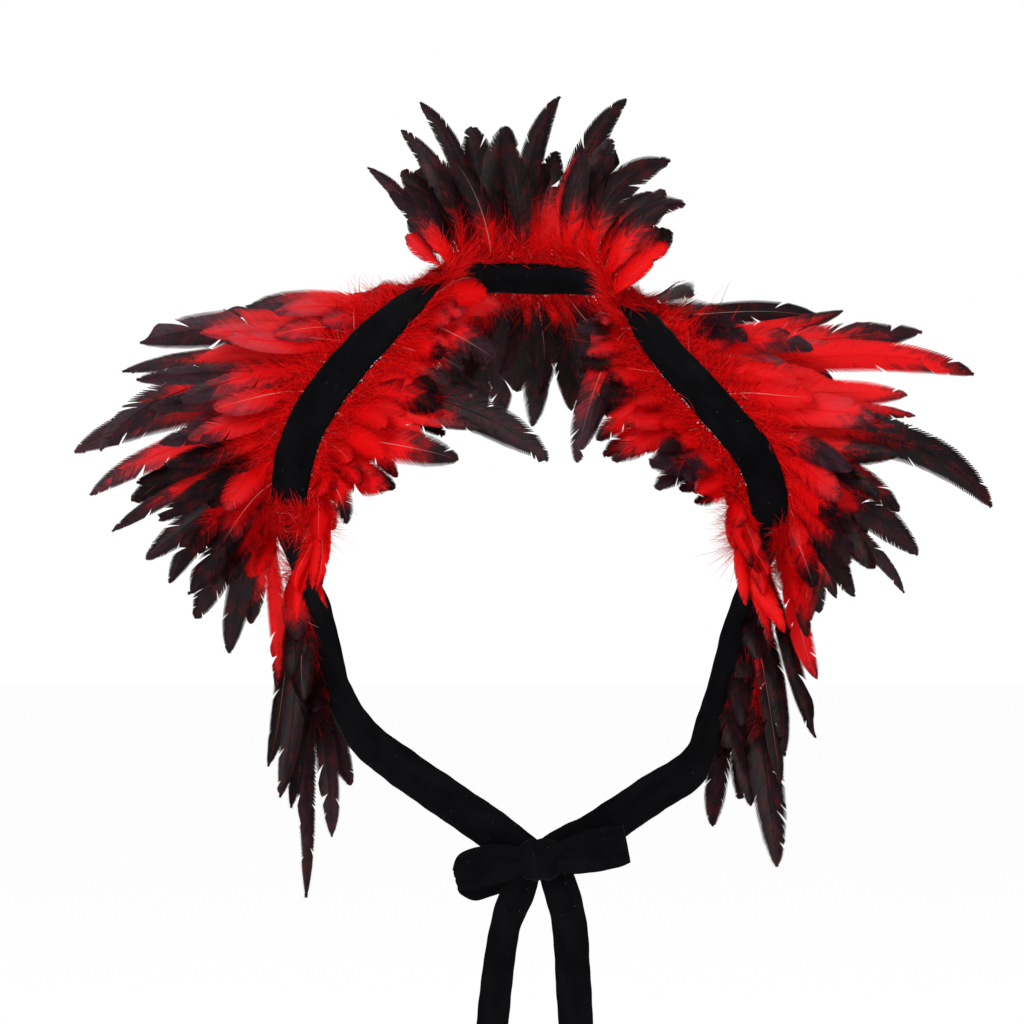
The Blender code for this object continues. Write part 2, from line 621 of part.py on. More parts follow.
def main():
    for thing in list(bpy.data.objects):
        bpy.data.objects.remove(thing)
    pieces = bpy.data.collections.new("feather_cape")
    guides = bpy.data.collections.new("guides")
    for collection in (pieces, guides):
        bpy.context.scene.collection.children.link(collection)
    velvet = finish("black_velvet", (0.010, 0.010, 0.013), 0.85)
    red = finish("red_feather", (0.55, 0.01, 0.015), 0.6)

    above = STRIP_THICKNESS / 2 + SEAM_GAP + TWIST_ROOM
    under = -above - RIBBON_THICKNESS
    bands = (
        ("shoulder_band_left", -11.05, -3.02, above),
        ("neck_band", -2.98, 2.98, above),
        ("shoulder_band_right", 3.02, 11.05, above),
        ("neck_facing", -3.6, 3.6, under),
        ("side_strap_left", -14.98, -11.07, above),
        ("side_strap_right", 11.07, 14.98, above),
        ("tie_left", -20.0, -15.0, above),
        ("tie_right", 15.0, 20.0, above),
    )
    for name, start, end, offset in bands:
        lies = lies_between(LOOP, start, end)
        gathers = (TIE_GATHER if start == -20 else 1.0, TIE_GATHER if end == 20 else 1.0)
        ribbon(name, lies, RIBBON_WIDTH, offset, RIBBON_THICKNESS, pieces, velvet, gathers)
    tails = (
        ("bow_tail_left", TAIL_LEFT_STOPS, (0.5, 1.0)),
        ("bow_tail_right", TAIL_RIGHT_STOPS, (0.9, 1.0)),
    )
    for name, stops, gathers in tails:
        lies = lies_between(Route(stops), 0, len(stops) - 1)
        ribbon(name, lies, TAIL_WIDTH, 0.0, RIBBON_THICKNESS, pieces, velvet, gathers)
    centre = Vector(KNOT_CENTRE)
    half = KNOT_SIZE[0] / 2 + SEAM_GAP
    for name, side, reach, droop in (("bow_loop_left", -1, 44.0, 16.0), ("bow_loop_right", 1, 45.0, -12.0)):
        slant = abs(math.sin(math.radians(droop))) * RIBBON_WIDTH / 2 * LOOP_GATHER
        start = centre + Vector((side * (half + slant), -LOOP_FORWARD, 0))
        lies = loop_lies(start, reach, droop, side, 20)
        ribbon(name, lies, RIBBON_WIDTH, 0.0, RIBBON_THICKNESS, pieces, velvet, (LOOP_GATHER, LOOP_GATHER))
    knot(pieces, velvet)
    bpy.context.view_layer.update()
    vanes = laid_out(ROWS, list(pieces.objects))
    for row in ROWS:
        feather_row(row, vanes[row.name], pieces, guides, red)


main()
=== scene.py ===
"""Looks of a feather shoulder cape: black velvet ribbon, tied in a bow, edged with red and black feathers.

Sizes are in millimetres and become metres as each mesh is made. The wearer faces -Y, and +X is the right
of a picture taken from the front. The routes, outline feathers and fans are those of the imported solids.
"""

import logging
import math
from dataclasses import dataclass, field
from enum import Enum
from typing import NamedTuple

import bpy
import numpy as np
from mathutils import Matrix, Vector


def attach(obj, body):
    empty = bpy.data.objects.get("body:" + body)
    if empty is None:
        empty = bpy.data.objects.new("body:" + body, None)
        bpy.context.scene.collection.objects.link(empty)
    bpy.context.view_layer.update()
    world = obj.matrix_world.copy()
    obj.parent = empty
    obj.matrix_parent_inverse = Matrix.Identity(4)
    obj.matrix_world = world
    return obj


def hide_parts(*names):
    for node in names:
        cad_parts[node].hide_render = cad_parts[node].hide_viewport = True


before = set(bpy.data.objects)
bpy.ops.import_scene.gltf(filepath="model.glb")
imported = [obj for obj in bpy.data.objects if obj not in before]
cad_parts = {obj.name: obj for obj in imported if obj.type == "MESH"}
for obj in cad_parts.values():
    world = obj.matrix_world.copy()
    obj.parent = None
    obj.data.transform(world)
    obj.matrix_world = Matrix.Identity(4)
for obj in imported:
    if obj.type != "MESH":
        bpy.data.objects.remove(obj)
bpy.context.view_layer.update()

LOG = logging.getLogger("feather_cape")
MM = 0.001

# Driving sizes that the solids share
RIBBON_WIDTH = 30.0
TAIL_WIDTH = 26.0
PILE_THICKNESS = 1.4
BAND_LIFT = 1.3
FACING_DROP = -2.7
QUILL_INSET = 1.4
QUILL_REACH = 12.0
VANE_CUP = 0.16
GATHER_LENGTH = 30.0
PINCH_LENGTH = 7.0
KNOT_SIZE = (34.0, 22.0, 32.0)
KNOT_CENTRE = (7.0, -122.0, -433.0)
GOLDEN = 0.618034


class Stop(NamedTuple):
    """A place on a ribbon's route and the way that the ribbon faces there."""

    x: float
    y: float
    z: float
    face_x: float
    face_y: float
    face_z: float


class Plume(NamedTuple):
    """A feather of the outline: where it leaves the band, its tip, its width and its arch."""

    stop: float
    tip_x: float
    tip_y: float
    tip_z: float
    width: float
    bow: float


class Fan(NamedTuple):
    """How the feathers between are dealt out at a stop: bearing in degrees, length and depth of the tip."""

    stop: float
    bearing: float
    length: float
    depth: float


class Tone(NamedTuple):
    """A row's colouring at a stop: the dark share of a feather, and how much painted sheen its vanes take, rose on
    red and mauve on dark.
    """

    stop: float
    dark: float
    bloom: float
    width: float = 1.0


class Edge(Enum):
    """The edge of the band that a row of feathers is sewn under."""

    INNER = -1
    OUTER = 1


class Held(Enum):
    """The ways in which a stretch of ribbon is held."""

    DRAPED = "draped"
    GATHERED = "gathered"
    FOLDED = "folded"
    HUNG = "hung"


NAPE = Stop(0, 60, 2, 0.0, 0.75, 0.66)
RIGHT_STOPS = (
    Stop(34, 53, 1, 0.30, 0.65, 0.70),
    Stop(60, 30, -3, 0.55, 0.35, 0.76),
    Stop(72, 2, -14, 0.50, -0.05, 0.86),
    Stop(84, -24, -33, 0.30, -0.45, 0.84),
    Stop(100, -46, -56, 0.15, -0.72, 0.68),
    Stop(121, -64, -80, 0.12, -0.86, 0.48),
    Stop(144, -78, -106, 0.18, -0.93, 0.30),
    Stop(163, -84, -129, 0.25, -0.95, 0.15),
    Stop(174, -83, -153, 0.32, -0.94, 0.05),
    Stop(177, -77, -177, 0.45, -0.89, 0.00),
    Stop(173, -67, -200, 0.62, -0.78, -0.05),
    Stop(163, -56, -226, 0.80, -0.60, 0.00),
    Stop(153, -48, -255, 0.80, -0.60, 0.00),
    Stop(144, -45, -290, 0.80, -0.60, 0.00),
    Stop(133, -46, -330, 0.78, -0.62, 0.00),
    Stop(121, -64, -364, 0.66, -0.75, 0.0),
    Stop(90, -90, -385, 0.42, -0.91, 0.0),
    Stop(54, -107, -409, 0.22, -0.97, 0.0),
    Stop(40, -113, -417, 0.10, -0.99, 0.0),
    Stop(25.2, -116, -423, 0.02, -1.00, 0.0),
    Stop(8, -118, -428, 0.0, -1.0, 0.0),
)
LEFT_STOPS = (
    Stop(-34, 53, 3, -0.30, 0.65, 0.70),
    Stop(-59, 32, 4, -0.55, 0.35, 0.76),
    Stop(-71, 5, -2, -0.50, -0.05, 0.86),
    Stop(-85, -21, -16, -0.30, -0.45, 0.84),
    Stop(-106, -45, -36, -0.15, -0.72, 0.68),
    Stop(-130, -64, -61, -0.12, -0.86, 0.48),
    Stop(-151, -77, -87, -0.18, -0.93, 0.30),
    Stop(-166, -84, -112, -0.25, -0.95, 0.15),
    Stop(-175, -84, -138, -0.32, -0.94, 0.05),
    Stop(-178, -79, -164, -0.45, -0.89, 0.00),
    Stop(-176, -71, -190, -0.62, -0.78, -0.05),
    Stop(-168, -60, -216, -0.80, -0.60, 0.00),
    Stop(-157, -51, -243, -0.80, -0.60, 0.00),
    Stop(-149, -47, -274, -0.80, -0.60, 0.00),
    Stop(-141, -47, -310, -0.78, -0.62, 0.00),
    Stop(-123, -66, -342, -0.66, -0.75, 0.0),
    Stop(-96, -88, -364, -0.45, -0.89, 0.0),
    Stop(-60, -105, -389, -0.24, -0.97, 0.0),
    Stop(-28, -114, -411, -0.10, -0.99, 0.0),
    Stop(-12.4, -116, -422.0, -0.02, -1.00, 0.0),
    Stop(5, -118, -430, 0.0, -1.0, 0.0),
)
TAIL_LEFT_STOPS = (
    Stop(-5, -119, -449.4, 0.30, -0.95, 0.0),
    Stop(-18, -119, -478, 0.52, -0.85, 0.0),
    Stop(-25, -121, -520, 0.50, -0.87, 0.0),
    Stop(-30, -121, -570, 0.42, -0.91, 0.0),
    Stop(-37, -118, -640, 0.34, -0.94, 0.0),
)
TAIL_RIGHT_STOPS = (
    Stop(21, -119, -449.2, -0.15, -0.99, 0.0),
    Stop(29, -121, -480, -0.10, -0.99, 0.0),
    Stop(32, -123, -525, 0.00, -1.00, 0.0),
    Stop(35, -121, -580, 0.08, -0.99, 0.0),
    Stop(38, -117, -655, 0.15, -0.98, 0.0),
)


# Vectors
def unit(rows: np.ndarray) -> np.ndarray:
    """Each vector divided by its length.

    Args:
        rows: vectors in the last axis.

    Returns:
        The unit vectors, in an array of the same shape.
    """
    return rows / np.maximum(np.linalg.norm(rows, axis=-1, keepdims=True), 1e-9)


def dot(a: np.ndarray, b: np.ndarray) -> np.ndarray:
    """The dot product over the last axis, which is kept with length one."""
    return np.sum(a * b, axis=-1, keepdims=True)


def square_to(along: np.ndarray, facing: np.ndarray) -> np.ndarray:
    """The part of a facing that is square to a direction: facing less its share along it, made a unit."""
    return unit(facing - dot(facing, along) * along)


@dataclass(frozen=True)
class Lies:
    """Places along a ribbon: point, direction, facing and outward side, one row for each place."""

    point: np.ndarray
    along: np.ndarray
    face: np.ndarray
    out: np.ndarray


@dataclass(frozen=True)
class Route:
    """A smooth line through stops, with the way that a ribbon on it faces."""

    stops: tuple[Stop, ...]
    first: int = 0

    def blend(self, at: np.ndarray) -> np.ndarray:
        """Catmull-Rom through the stops a, b, c, d round each place, t of the way from b to c.

        Half of 2b + (c - a)t + (2a - 5b + 4c - d)t squared + (3b - a - 3c + d)t cubed.

        Args:
            at: stop numbers, which may lie between two stops.

        Returns:
            One row of x, y, z and facing for each stop number.
        """
        table = np.array(self.stops, dtype=float)
        last = len(table) - 1
        place = np.clip(at - self.first, 0.0, float(last))
        i = np.minimum(place.astype(int), last - 1)
        t = (place - i)[:, None]
        a, b, c, d = (table[np.clip(i + k, 0, last)] for k in (-1, 0, 1, 2))
        return 0.5 * (2 * b + (c - a) * t + (2 * a - 5 * b + 4 * c - d) * t**2 + (3 * b - a - 3 * c + d) * t**3)

    def lie(self, at: np.ndarray) -> Lies:
        """The ribbon's frame at stop numbers: its direction from points just ahead and behind.

        Args:
            at: stop numbers.

        Returns:
            The lies there, with the facing made square to the direction, and out = face x along.
        """
        at = np.asarray(at, dtype=float)
        here = self.blend(at)
        along = unit(self.blend(at + 0.01)[:, :3] - self.blend(at - 0.01)[:, :3])
        face = square_to(along, here[:, 3:])
        return Lies(here[:, :3], along, face, np.cross(face, along))


LOOP = Route((*reversed(LEFT_STOPS), NAPE, *RIGHT_STOPS), first=-len(LEFT_STOPS))


# Meshes
@dataclass
class Patches:
    """Grids of points that grow into one mesh, with named values for every point."""

    points: list[np.ndarray] = field(default_factory=list)
    quads: list[np.ndarray] = field(default_factory=list)
    slots: list[np.ndarray] = field(default_factory=list)
    values: dict[str, list[np.ndarray]] = field(default_factory=dict)
    total: int = 0

    def add(self, grids: np.ndarray, slot: int, closed: bool, **values: np.ndarray) -> None:
        """Adds grids of the same size, each joined row to row and column to column.

        Args:
            grids: array of count x rows x columns x 3 points.
            slot: which material the faces take.
            closed: whether the last column is joined to the first.
            values: numbers for each point, that spread over count x rows x columns.
        """
        count, rows, columns, _ = grids.shape
        wide = columns if closed else columns - 1
        grid = np.arange(count)[:, None, None] * rows * columns
        row = np.arange(rows - 1)[None, :, None] * columns
        column = np.arange(wide)[None, None, :]
        beside = (column + 1) % columns
        near, far = grid + row, grid + row + columns
        corners = (near + column, near + beside, far + beside, far + column)
        quads = np.stack(np.broadcast_arrays(*corners), axis=-1).reshape(-1, 4) + self.total
        self.points.append(grids.reshape(-1, 3))
        self.quads.append(quads)
        self.slots.append(np.full(len(quads), slot, dtype=np.int32))
        for name, numbers in values.items():
            whole = np.broadcast_to(numbers, (count, rows, columns)).reshape(-1)
            self.values.setdefault(name, []).append(whole)
        self.total += count * rows * columns

    def mesh(self, name: str) -> bpy.types.Mesh:
        """The grids as one mesh in metres, its values as point attributes and u, v as a UV map.

        Args:
            name: the mesh's name.

        Returns:
            The new mesh, smooth shaded.
        """
        points = np.concatenate(self.points) * MM
        quads = np.concatenate(self.quads)
        mesh = bpy.data.meshes.new(name)
        mesh.vertices.add(len(points))
        mesh.vertices.foreach_set("co", points.astype(np.float32).ravel())
        mesh.loops.add(quads.size)
        mesh.loops.foreach_set("vertex_index", quads.astype(np.int32).ravel())
        mesh.polygons.add(len(quads))
        mesh.polygons.foreach_set("loop_start", np.arange(0, quads.size, 4, dtype=np.int32))
        mesh.polygons.foreach_set("material_index", np.concatenate(self.slots))
        mesh.polygons.foreach_set("use_smooth", np.ones(len(quads), dtype=bool))
        mesh.update(calc_edges=True)
        joined = {key: np.concatenate(rows).astype(np.float32) for key, rows in self.values.items()}
        uv = mesh.uv_layers.new(name="cloth")
        flat = np.stack((joined.pop("u"), joined.pop("v")), axis=-1)[quads.ravel()]
        uv.data.foreach_set("uv", flat.ravel())
        for key, numbers in joined.items():
            mesh.attributes.new(key, "FLOAT", "POINT").data.foreach_set("value", numbers)
        return mesh


def placed(name: str, mesh: bpy.types.Mesh, slot: str, *materials: bpy.types.Material) -> bpy.types.Object:
    """A new piece at the origin, riding on the cape and named for the part that it finishes.

    Args:
        name: the piece's name.
        mesh: its mesh, in metres.
        slot: the record's material slot, which is not used.
        materials: its materials, in the order of the faces' slots.

    Returns:
        The new object.
    """
    thing = bpy.data.objects.new(name, mesh)
    bpy.context.scene.collection.objects.link(thing)
    for material in materials:
        mesh.materials.append(material)
    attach(thing, "root")
    return thing


# Finishes
@dataclass(frozen=True)
class Graph:
    """A material's node tree, with short ways to add to it."""

    material: bpy.types.Material

    def node(self, kind: str, **settings: object) -> bpy.types.Node:
        """A new node of a kind, with settings by name."""
        made = self.material.node_tree.nodes.new(kind)
        for key, value in settings.items():
            setattr(made, key, value)
        return made

    def link(self, source: bpy.types.NodeSocket, target: bpy.types.NodeSocket) -> None:
        """Joins two sockets."""
        self.material.node_tree.links.new(source, target)

    def value(self, name: str) -> bpy.types.NodeSocket:
        """A point value of the mesh, by its name."""
        return self.node("ShaderNodeAttribute", attribute_name=name).outputs["Fac"]

    def cloth_noise(self, scale: tuple[float, float], detail: float) -> bpy.types.NodeSocket:
        """Noise on the piece's own map, stretched by a scale in each direction.

        Args:
            scale: cells for each unit of u and of v.
            detail: how many octaves.

        Returns:
            The noise's value, about 0.3 to 0.7.
        """
        place = self.node("ShaderNodeUVMap", uv_map="cloth")
        stretch = self.node("ShaderNodeMapping")
        stretch.inputs["Scale"].default_value = (*scale, 1.0)
        noise = self.node("ShaderNodeTexNoise")
        noise.inputs["Scale"].default_value = 1.0
        noise.inputs["Detail"].default_value = detail
        self.link(place.outputs["UV"], stretch.inputs["Vector"])
        self.link(stretch.outputs["Vector"], noise.inputs["Vector"])
        return noise.outputs["Fac"]

    def sums(self, operation: str, a: object, b: object, clamp: bool = False) -> bpy.types.NodeSocket:
        """A Math node on two sockets or numbers.

        Args:
            operation: the node's operation.
            a: a socket or a number.
            b: a socket or a number.
            clamp: whether the result is kept from 0 to 1.

        Returns:
            The result.
        """
        made = self.node("ShaderNodeMath", operation=operation, use_clamp=clamp)
        for socket, given in zip(made.inputs, (a, b)):
            if isinstance(given, bpy.types.NodeSocket):
                self.link(given, socket)
            else:
                socket.default_value = given
        return made.outputs["Value"]

    def blend(self, share: bpy.types.NodeSocket, a: object, b: object) -> bpy.types.NodeSocket:
        """A colour between two, each a socket or three numbers.

        Args:
            share: how much of the second colour.
            a: the first colour.
            b: the second colour.

        Returns:
            The blended colour.
        """
        made = self.node("ShaderNodeMix", data_type="RGBA")
        self.link(share, made.inputs[0])
        for socket, given in ((made.inputs[6], a), (made.inputs[7], b)):
            if isinstance(given, bpy.types.NodeSocket):
                self.link(given, socket)
            else:
                socket.default_value = (*given, 1.0)
        return made.outputs[2]

    def ramp(self, share: bpy.types.NodeSocket, stops: tuple[tuple[float, tuple], ...]) -> bpy.types.NodeSocket:
        """A colour ramp.

        Args:
            share: where on the ramp.
            stops: places and their colours.

        Returns:
            The ramp's colour.
        """
        made = self.node("ShaderNodeValToRGB")
        steps = made.color_ramp.elements
        while len(steps) < len(stops):
            steps.new(0.5)
        for step, (place, colour) in zip(steps, stops):
            step.position = place
            step.color = (*colour, 1.0)
        self.link(share, made.inputs["Fac"])
        return made.outputs["Color"]

    def bump(self, height: bpy.types.NodeSocket, distance: float, shader: bpy.types.Node) -> None:
        """Gives the shader a relief.

        Args:
            height: the relief's height, 0 to 1.
            distance: the height of 1, in metres.
            shader: the Principled node.
        """
        made = self.node("ShaderNodeBump")
        made.inputs["Distance"].default_value = distance
        made.inputs["Strength"].default_value = 0.7
        self.link(height, made.inputs["Height"])
        self.link(made.outputs["Normal"], shader.inputs["Normal"])


def new_finish(name: str, roughness: float, specular: float) -> tuple[Graph, bpy.types.Node]:
    """A new material and its Principled node.

    Args:
        name: the material's name.
        roughness: its roughness.
        specular: its specular level.

    Returns:
        The graph of the material, and the shader node.
    """
    material = bpy.data.materials.new(name)
    material.use_nodes = True
    shader = material.node_tree.nodes["Principled BSDF"]
    shader.inputs["Roughness"].default_value = roughness
    shader.inputs["Specular IOR Level"].default_value = specular
    return Graph(material), shader


@dataclass(frozen=True)
class VelvetFinish:
    """Black velvet: a fine nap that catches little light, with a few specks of lint."""

    pile: tuple[float, float, float] = (0.0006, 0.0006, 0.0010)
    brushed: tuple[float, float, float] = (0.0030, 0.0030, 0.0042)
    lint: tuple[float, float, float] = (0.16, 0.15, 0.17)

    def make(self) -> bpy.types.Material:
        """The finish as a material; the map's u and v are millimetres along and across the ribbon."""
        graph, shader = new_finish("black_velvet", 0.95, 0.06)
        shader.inputs["Sheen Weight"].default_value = 0.03
        shader.inputs["Sheen Roughness"].default_value = 0.35
        nap = graph.cloth_noise((0.9, 0.9), 6.0)
        stroke = graph.cloth_noise((0.03, 0.07), 3.0)
        brushed = graph.sums("MULTIPLY_ADD", stroke, 2.2, clamp=True)
        brushed.node.inputs[2].default_value = -0.7
        place = graph.node("ShaderNodeUVMap", uv_map="cloth")
        specks = graph.node("ShaderNodeTexVoronoi")
        specks.inputs["Scale"].default_value = 0.16
        graph.link(place.outputs["UV"], specks.inputs["Vector"])
        speck = graph.sums("LESS_THAN", specks.outputs["Distance"], 0.045)
        speck = graph.sums("MULTIPLY", speck, nap)
        colour = graph.blend(brushed, self.pile, self.brushed)
        graph.link(graph.blend(speck, colour, self.lint), shader.inputs["Base Color"])
        graph.bump(nap, 0.0003, shader)
        return graph.material


@dataclass(frozen=True)
class VaneFinish:
    """A dyed, glossy feather vane, red at its base and near black at its end, with painted sheen in streaks, rose on
    the red and mauve on the dark.
    """

    red: tuple[float, float, float] = (0.72, 0.001, 0.002)
    crimson: tuple[float, float, float] = (0.30, 0.001, 0.003)
    maroon: tuple[float, float, float] = (0.055, 0.001, 0.002)
    black: tuple[float, float, float] = (0.0020, 0.0010, 0.0016)
    rose_sheen: tuple[float, float, float] = (0.42, 0.10, 0.13)
    mauve_sheen: tuple[float, float, float] = (0.12, 0.055, 0.080)
    pale: tuple[float, float, float] = (0.72, 0.42, 0.40)

    def make(self) -> bpy.types.Material:
        """The finish as a material; the map's u runs along the quill and v along the barb."""
        graph, shader = new_finish("feather_vane", 0.42, 0.11)
        streak = graph.cloth_noise((2.2, 1.6), 3.0)
        cloud = graph.cloth_noise((0.09, 1.1), 2.0)
        dye = graph.value("dye")
        unevenness = graph.sums("SUBTRACT", graph.sums("ADD", streak, cloud), 1.0)
        dye = graph.sums("ADD", dye, graph.sums("MULTIPLY", unevenness, 0.95), clamp=True)
        stops = ((0.0, self.red), (0.30, self.red), (0.52, self.crimson), (0.74, self.maroon), (1.0, self.black))
        colour = graph.ramp(dye, stops)
        # Painted sheen: streaks where the colour turns rose on red and mauve on dark, standing in for the gloss of
        # the lights on the vanes.
        glossy = graph.sums("MULTIPLY", graph.sums("SUBTRACT", streak, 0.27), 1.8)
        bloom = graph.sums("MULTIPLY", graph.value("bloom"), glossy, clamp=True)
        colour = graph.blend(bloom, colour, graph.blend(dye, self.rose_sheen, self.mauve_sheen))
        colour = graph.blend(graph.value("pale"), colour, self.pale)
        graph.link(colour, shader.inputs["Base Color"])
        gloss = graph.sums("MULTIPLY_ADD", dye, -0.16)
        gloss.node.inputs[2].default_value = 0.52
        graph.link(gloss, shader.inputs["Roughness"])
        graph.bump(streak, 0.0004, shader)
        return graph.material


@dataclass(frozen=True)
class DownFinish:
    """Loose red down: soft, matt and bright."""

    red: tuple[float, float, float] = (0.72, 0.002, 0.003)
    deep: tuple[float, float, float] = (0.28, 0.001, 0.003)
    dark: tuple[float, float, float] = (0.012, 0.004, 0.006)
    pale: tuple[float, float, float] = (0.62, 0.36, 0.34)

    def make(self) -> bpy.types.Material:
        """The finish as a material, its colour from the hair's own values."""
        graph, shader = new_finish("feather_down", 0.75, 0.08)
        colour = graph.ramp(graph.value("dye"), ((0.0, self.red), (0.45, self.deep), (1.0, self.dark)))
        graph.link(graph.blend(graph.value("pale"), colour, self.pale), shader.inputs["Base Color"])
        return graph.material


# Ribbons
def gathered(lies: Lies, start: float, end: float) -> np.ndarray:
    """Share of its width that a ribbon has at each lie, when a knot gathers one end or both.

    One less (1 - start) times the square of what is left of the gather's length there, and so for the end.

    Args:
        lies: the ribbon's lies.
        start: share of the width at the first lie.
        end: share of the width at the last lie.

    Returns:
        The share at each lie.
    """
    steps = np.linalg.norm(np.diff(lies.point, axis=0), axis=1)
    gone = np.concatenate(([0.0], np.cumsum(steps)))
    near_start = np.maximum(0.0, 1 - gone / GATHER_LENGTH) ** 2
    near_end = np.maximum(0.0, 1 - (gone[-1] - gone) / GATHER_LENGTH) ** 2
    return 1 - (1 - start) * near_start - (1 - end) * near_end


@dataclass
class Ribbon:
    """A stretch of velvet ribbon along lies, with a low crown, soft ripples and a wavering edge."""

    name: str
    lies: Lies
    held: Held
    width: float = RIBBON_WIDTH
    lift: float = BAND_LIFT
    gathers: tuple[float, float] = (1.0, 1.0)
    pinch: float = 0.0
    ripple: float = 0.5
    crown: float = 0.35
    pleat: float = 0.0
    across: int = 12
    phase: float = 0.0
    gone: float = 0.0

    def surface(self) -> tuple[np.ndarray, np.ndarray, np.ndarray]:
        """The ribbon's under face.

        Point = lie + out * across + face * (lift + crown(1 - v squared) + ripples + pleats where it is gathered).
        The ripples are two sines of the length, turned by v, and never go below the lift. A pinch narrows it at
        its middle, where a bow's loop is folded, by exp(-d squared), d being the way from the fold.

        Returns:
            The grid of points, and its u and v in millimetres along and across the ribbon.
        """
        lies = self.lies
        steps = np.linalg.norm(np.diff(lies.point, axis=0), axis=1)
        gone = self.gone + np.concatenate(([0.0], np.cumsum(steps)))[:, None]
        v = np.linspace(-1.0, 1.0, self.across + 1)[None, :]
        share = gathered(lies, *self.gathers)[:, None]
        from_fold = (gone - (gone[0] + gone[-1]) / 2) / PINCH_LENGTH
        share = share * (1 - self.pinch * np.exp(-(from_fold**2)))
        waver = 1 + 0.012 * np.sin(gone / 6.1 + self.phase) + 0.010 * np.sin(gone / 2.7 + 2 * self.phase)
        reach = v * share * waver * self.width / 2
        wave = np.sin(gone / 9.0 + 1.4 * v + self.phase) + 0.7 * np.sin(gone / 4.3 - 2.0 * v + 3 * self.phase)
        pleats = self.pleat * (1 - share) * (1 + np.cos(3.2 * math.pi * v + self.phase))
        rise = self.lift + self.crown * (1 - v**2) + self.ripple * (wave + 1.7) / 2 + pleats
        grid = lies.point[:, None] + lies.out[:, None] * reach[..., None] + lies.face[:, None] * rise[..., None]
        u = np.broadcast_to(gone, reach.shape)
        return grid, u, np.broadcast_to(v * self.width / 2, reach.shape)

    def length(self) -> float:
        """The length of the ribbon along its middle, in millimetres."""
        return float(np.sum(np.linalg.norm(np.diff(self.lies.point, axis=0), axis=1)))

    def build(self, velvet: bpy.types.Material) -> bpy.types.Object:
        """Makes the ribbon, with the velvet's thickness, and hides its solid.

        Args:
            velvet: the velvet finish.

        Returns:
            The piece, which stands for the solid of its own name.
        """
        grid, u, v = self.surface()
        patches = Patches()
        patches.add(grid[None], 0, False, u=u[None], v=v[None])
        piece = placed(self.name + "_velvet", patches.mesh(self.name + "_velvet"), "black_velvet", velvet)
        middle = piece.data.polygons[len(piece.data.polygons) // 2]
        nearest = np.argmin(np.linalg.norm(self.lies.point * MM - np.array(middle.center), axis=1))
        looks_out = float(np.dot(np.array(middle.normal), self.lies.face[nearest])) > 0
        wall = piece.modifiers.new("pile", "SOLIDIFY")
        wall.thickness = PILE_THICKNESS * MM
        wall.offset = 1.0 if looks_out else -1.0
        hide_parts(self.name)
        self.length() * MM
        LOG.info("%s: %.0f mm of %.0f mm ribbon", self.name, self.length(), self.width)
        return piece


@dataclass
class Band:
    """The long ribbon: neck band and facing, shoulder bands, side straps and ties.

    Its stretches are one ribbon, so they run on into each other by a lap, and share their ripples.
    """

    station: float = 3.0
    lap: float = 0.03

    def reach(self, start: float, end: float) -> float:
        """The length of the loop between two stop numbers, in millimetres."""
        rough = LOOP.lie(np.linspace(start, end, 60)).point
        return float(np.sum(np.linalg.norm(np.diff(rough, axis=0), axis=1)))

    def stretch(self, name: str, start: float, end: float, held: Held, **shape: object) -> Ribbon:
        """A stretch of the ribbon between two stop numbers, with a lie about every three millimetres."""
        lies = LOOP.lie(np.linspace(start, end, max(8, round(self.reach(start, end) / self.station))))
        return Ribbon(name, lies, held, gone=self.reach(LOOP.first, start), **shape)

    def build(self, velvet: bpy.types.Material) -> None:
        """Makes the eight stretches.

        Args:
            velvet: the velvet finish.
        """
        stretches = (
            ("tie_left", -20.8, -15.0, Held.GATHERED, (0.65, 1.0)),
            ("side_strap_left", -15.0, -11.06, Held.HUNG, (1.0, 1.0)),
            ("shoulder_band_left", -11.06, -3.0, Held.DRAPED, (1.0, 1.0)),
            ("neck_band", -3.0, 3.0, Held.DRAPED, (1.0, 1.0)),
            ("shoulder_band_right", 3.0, 11.06, Held.DRAPED, (1.0, 1.0)),
            ("side_strap_right", 11.06, 15.0, Held.HUNG, (1.0, 1.0)),
            ("tie_right", 15.0, 20.8, Held.GATHERED, (1.0, 0.65)),
        )
        for name, start, end, held, gathers in stretches:
            ribbon = self.stretch(name, start - self.lap, end + self.lap, held, gathers=gathers, pleat=2.2)
            ribbon.build(velvet)
        facing = self.stretch("neck_facing", -3.6, 3.6, Held.DRAPED, lift=FACING_DROP, ripple=0.0, crown=0.0)
        facing.build(velvet)


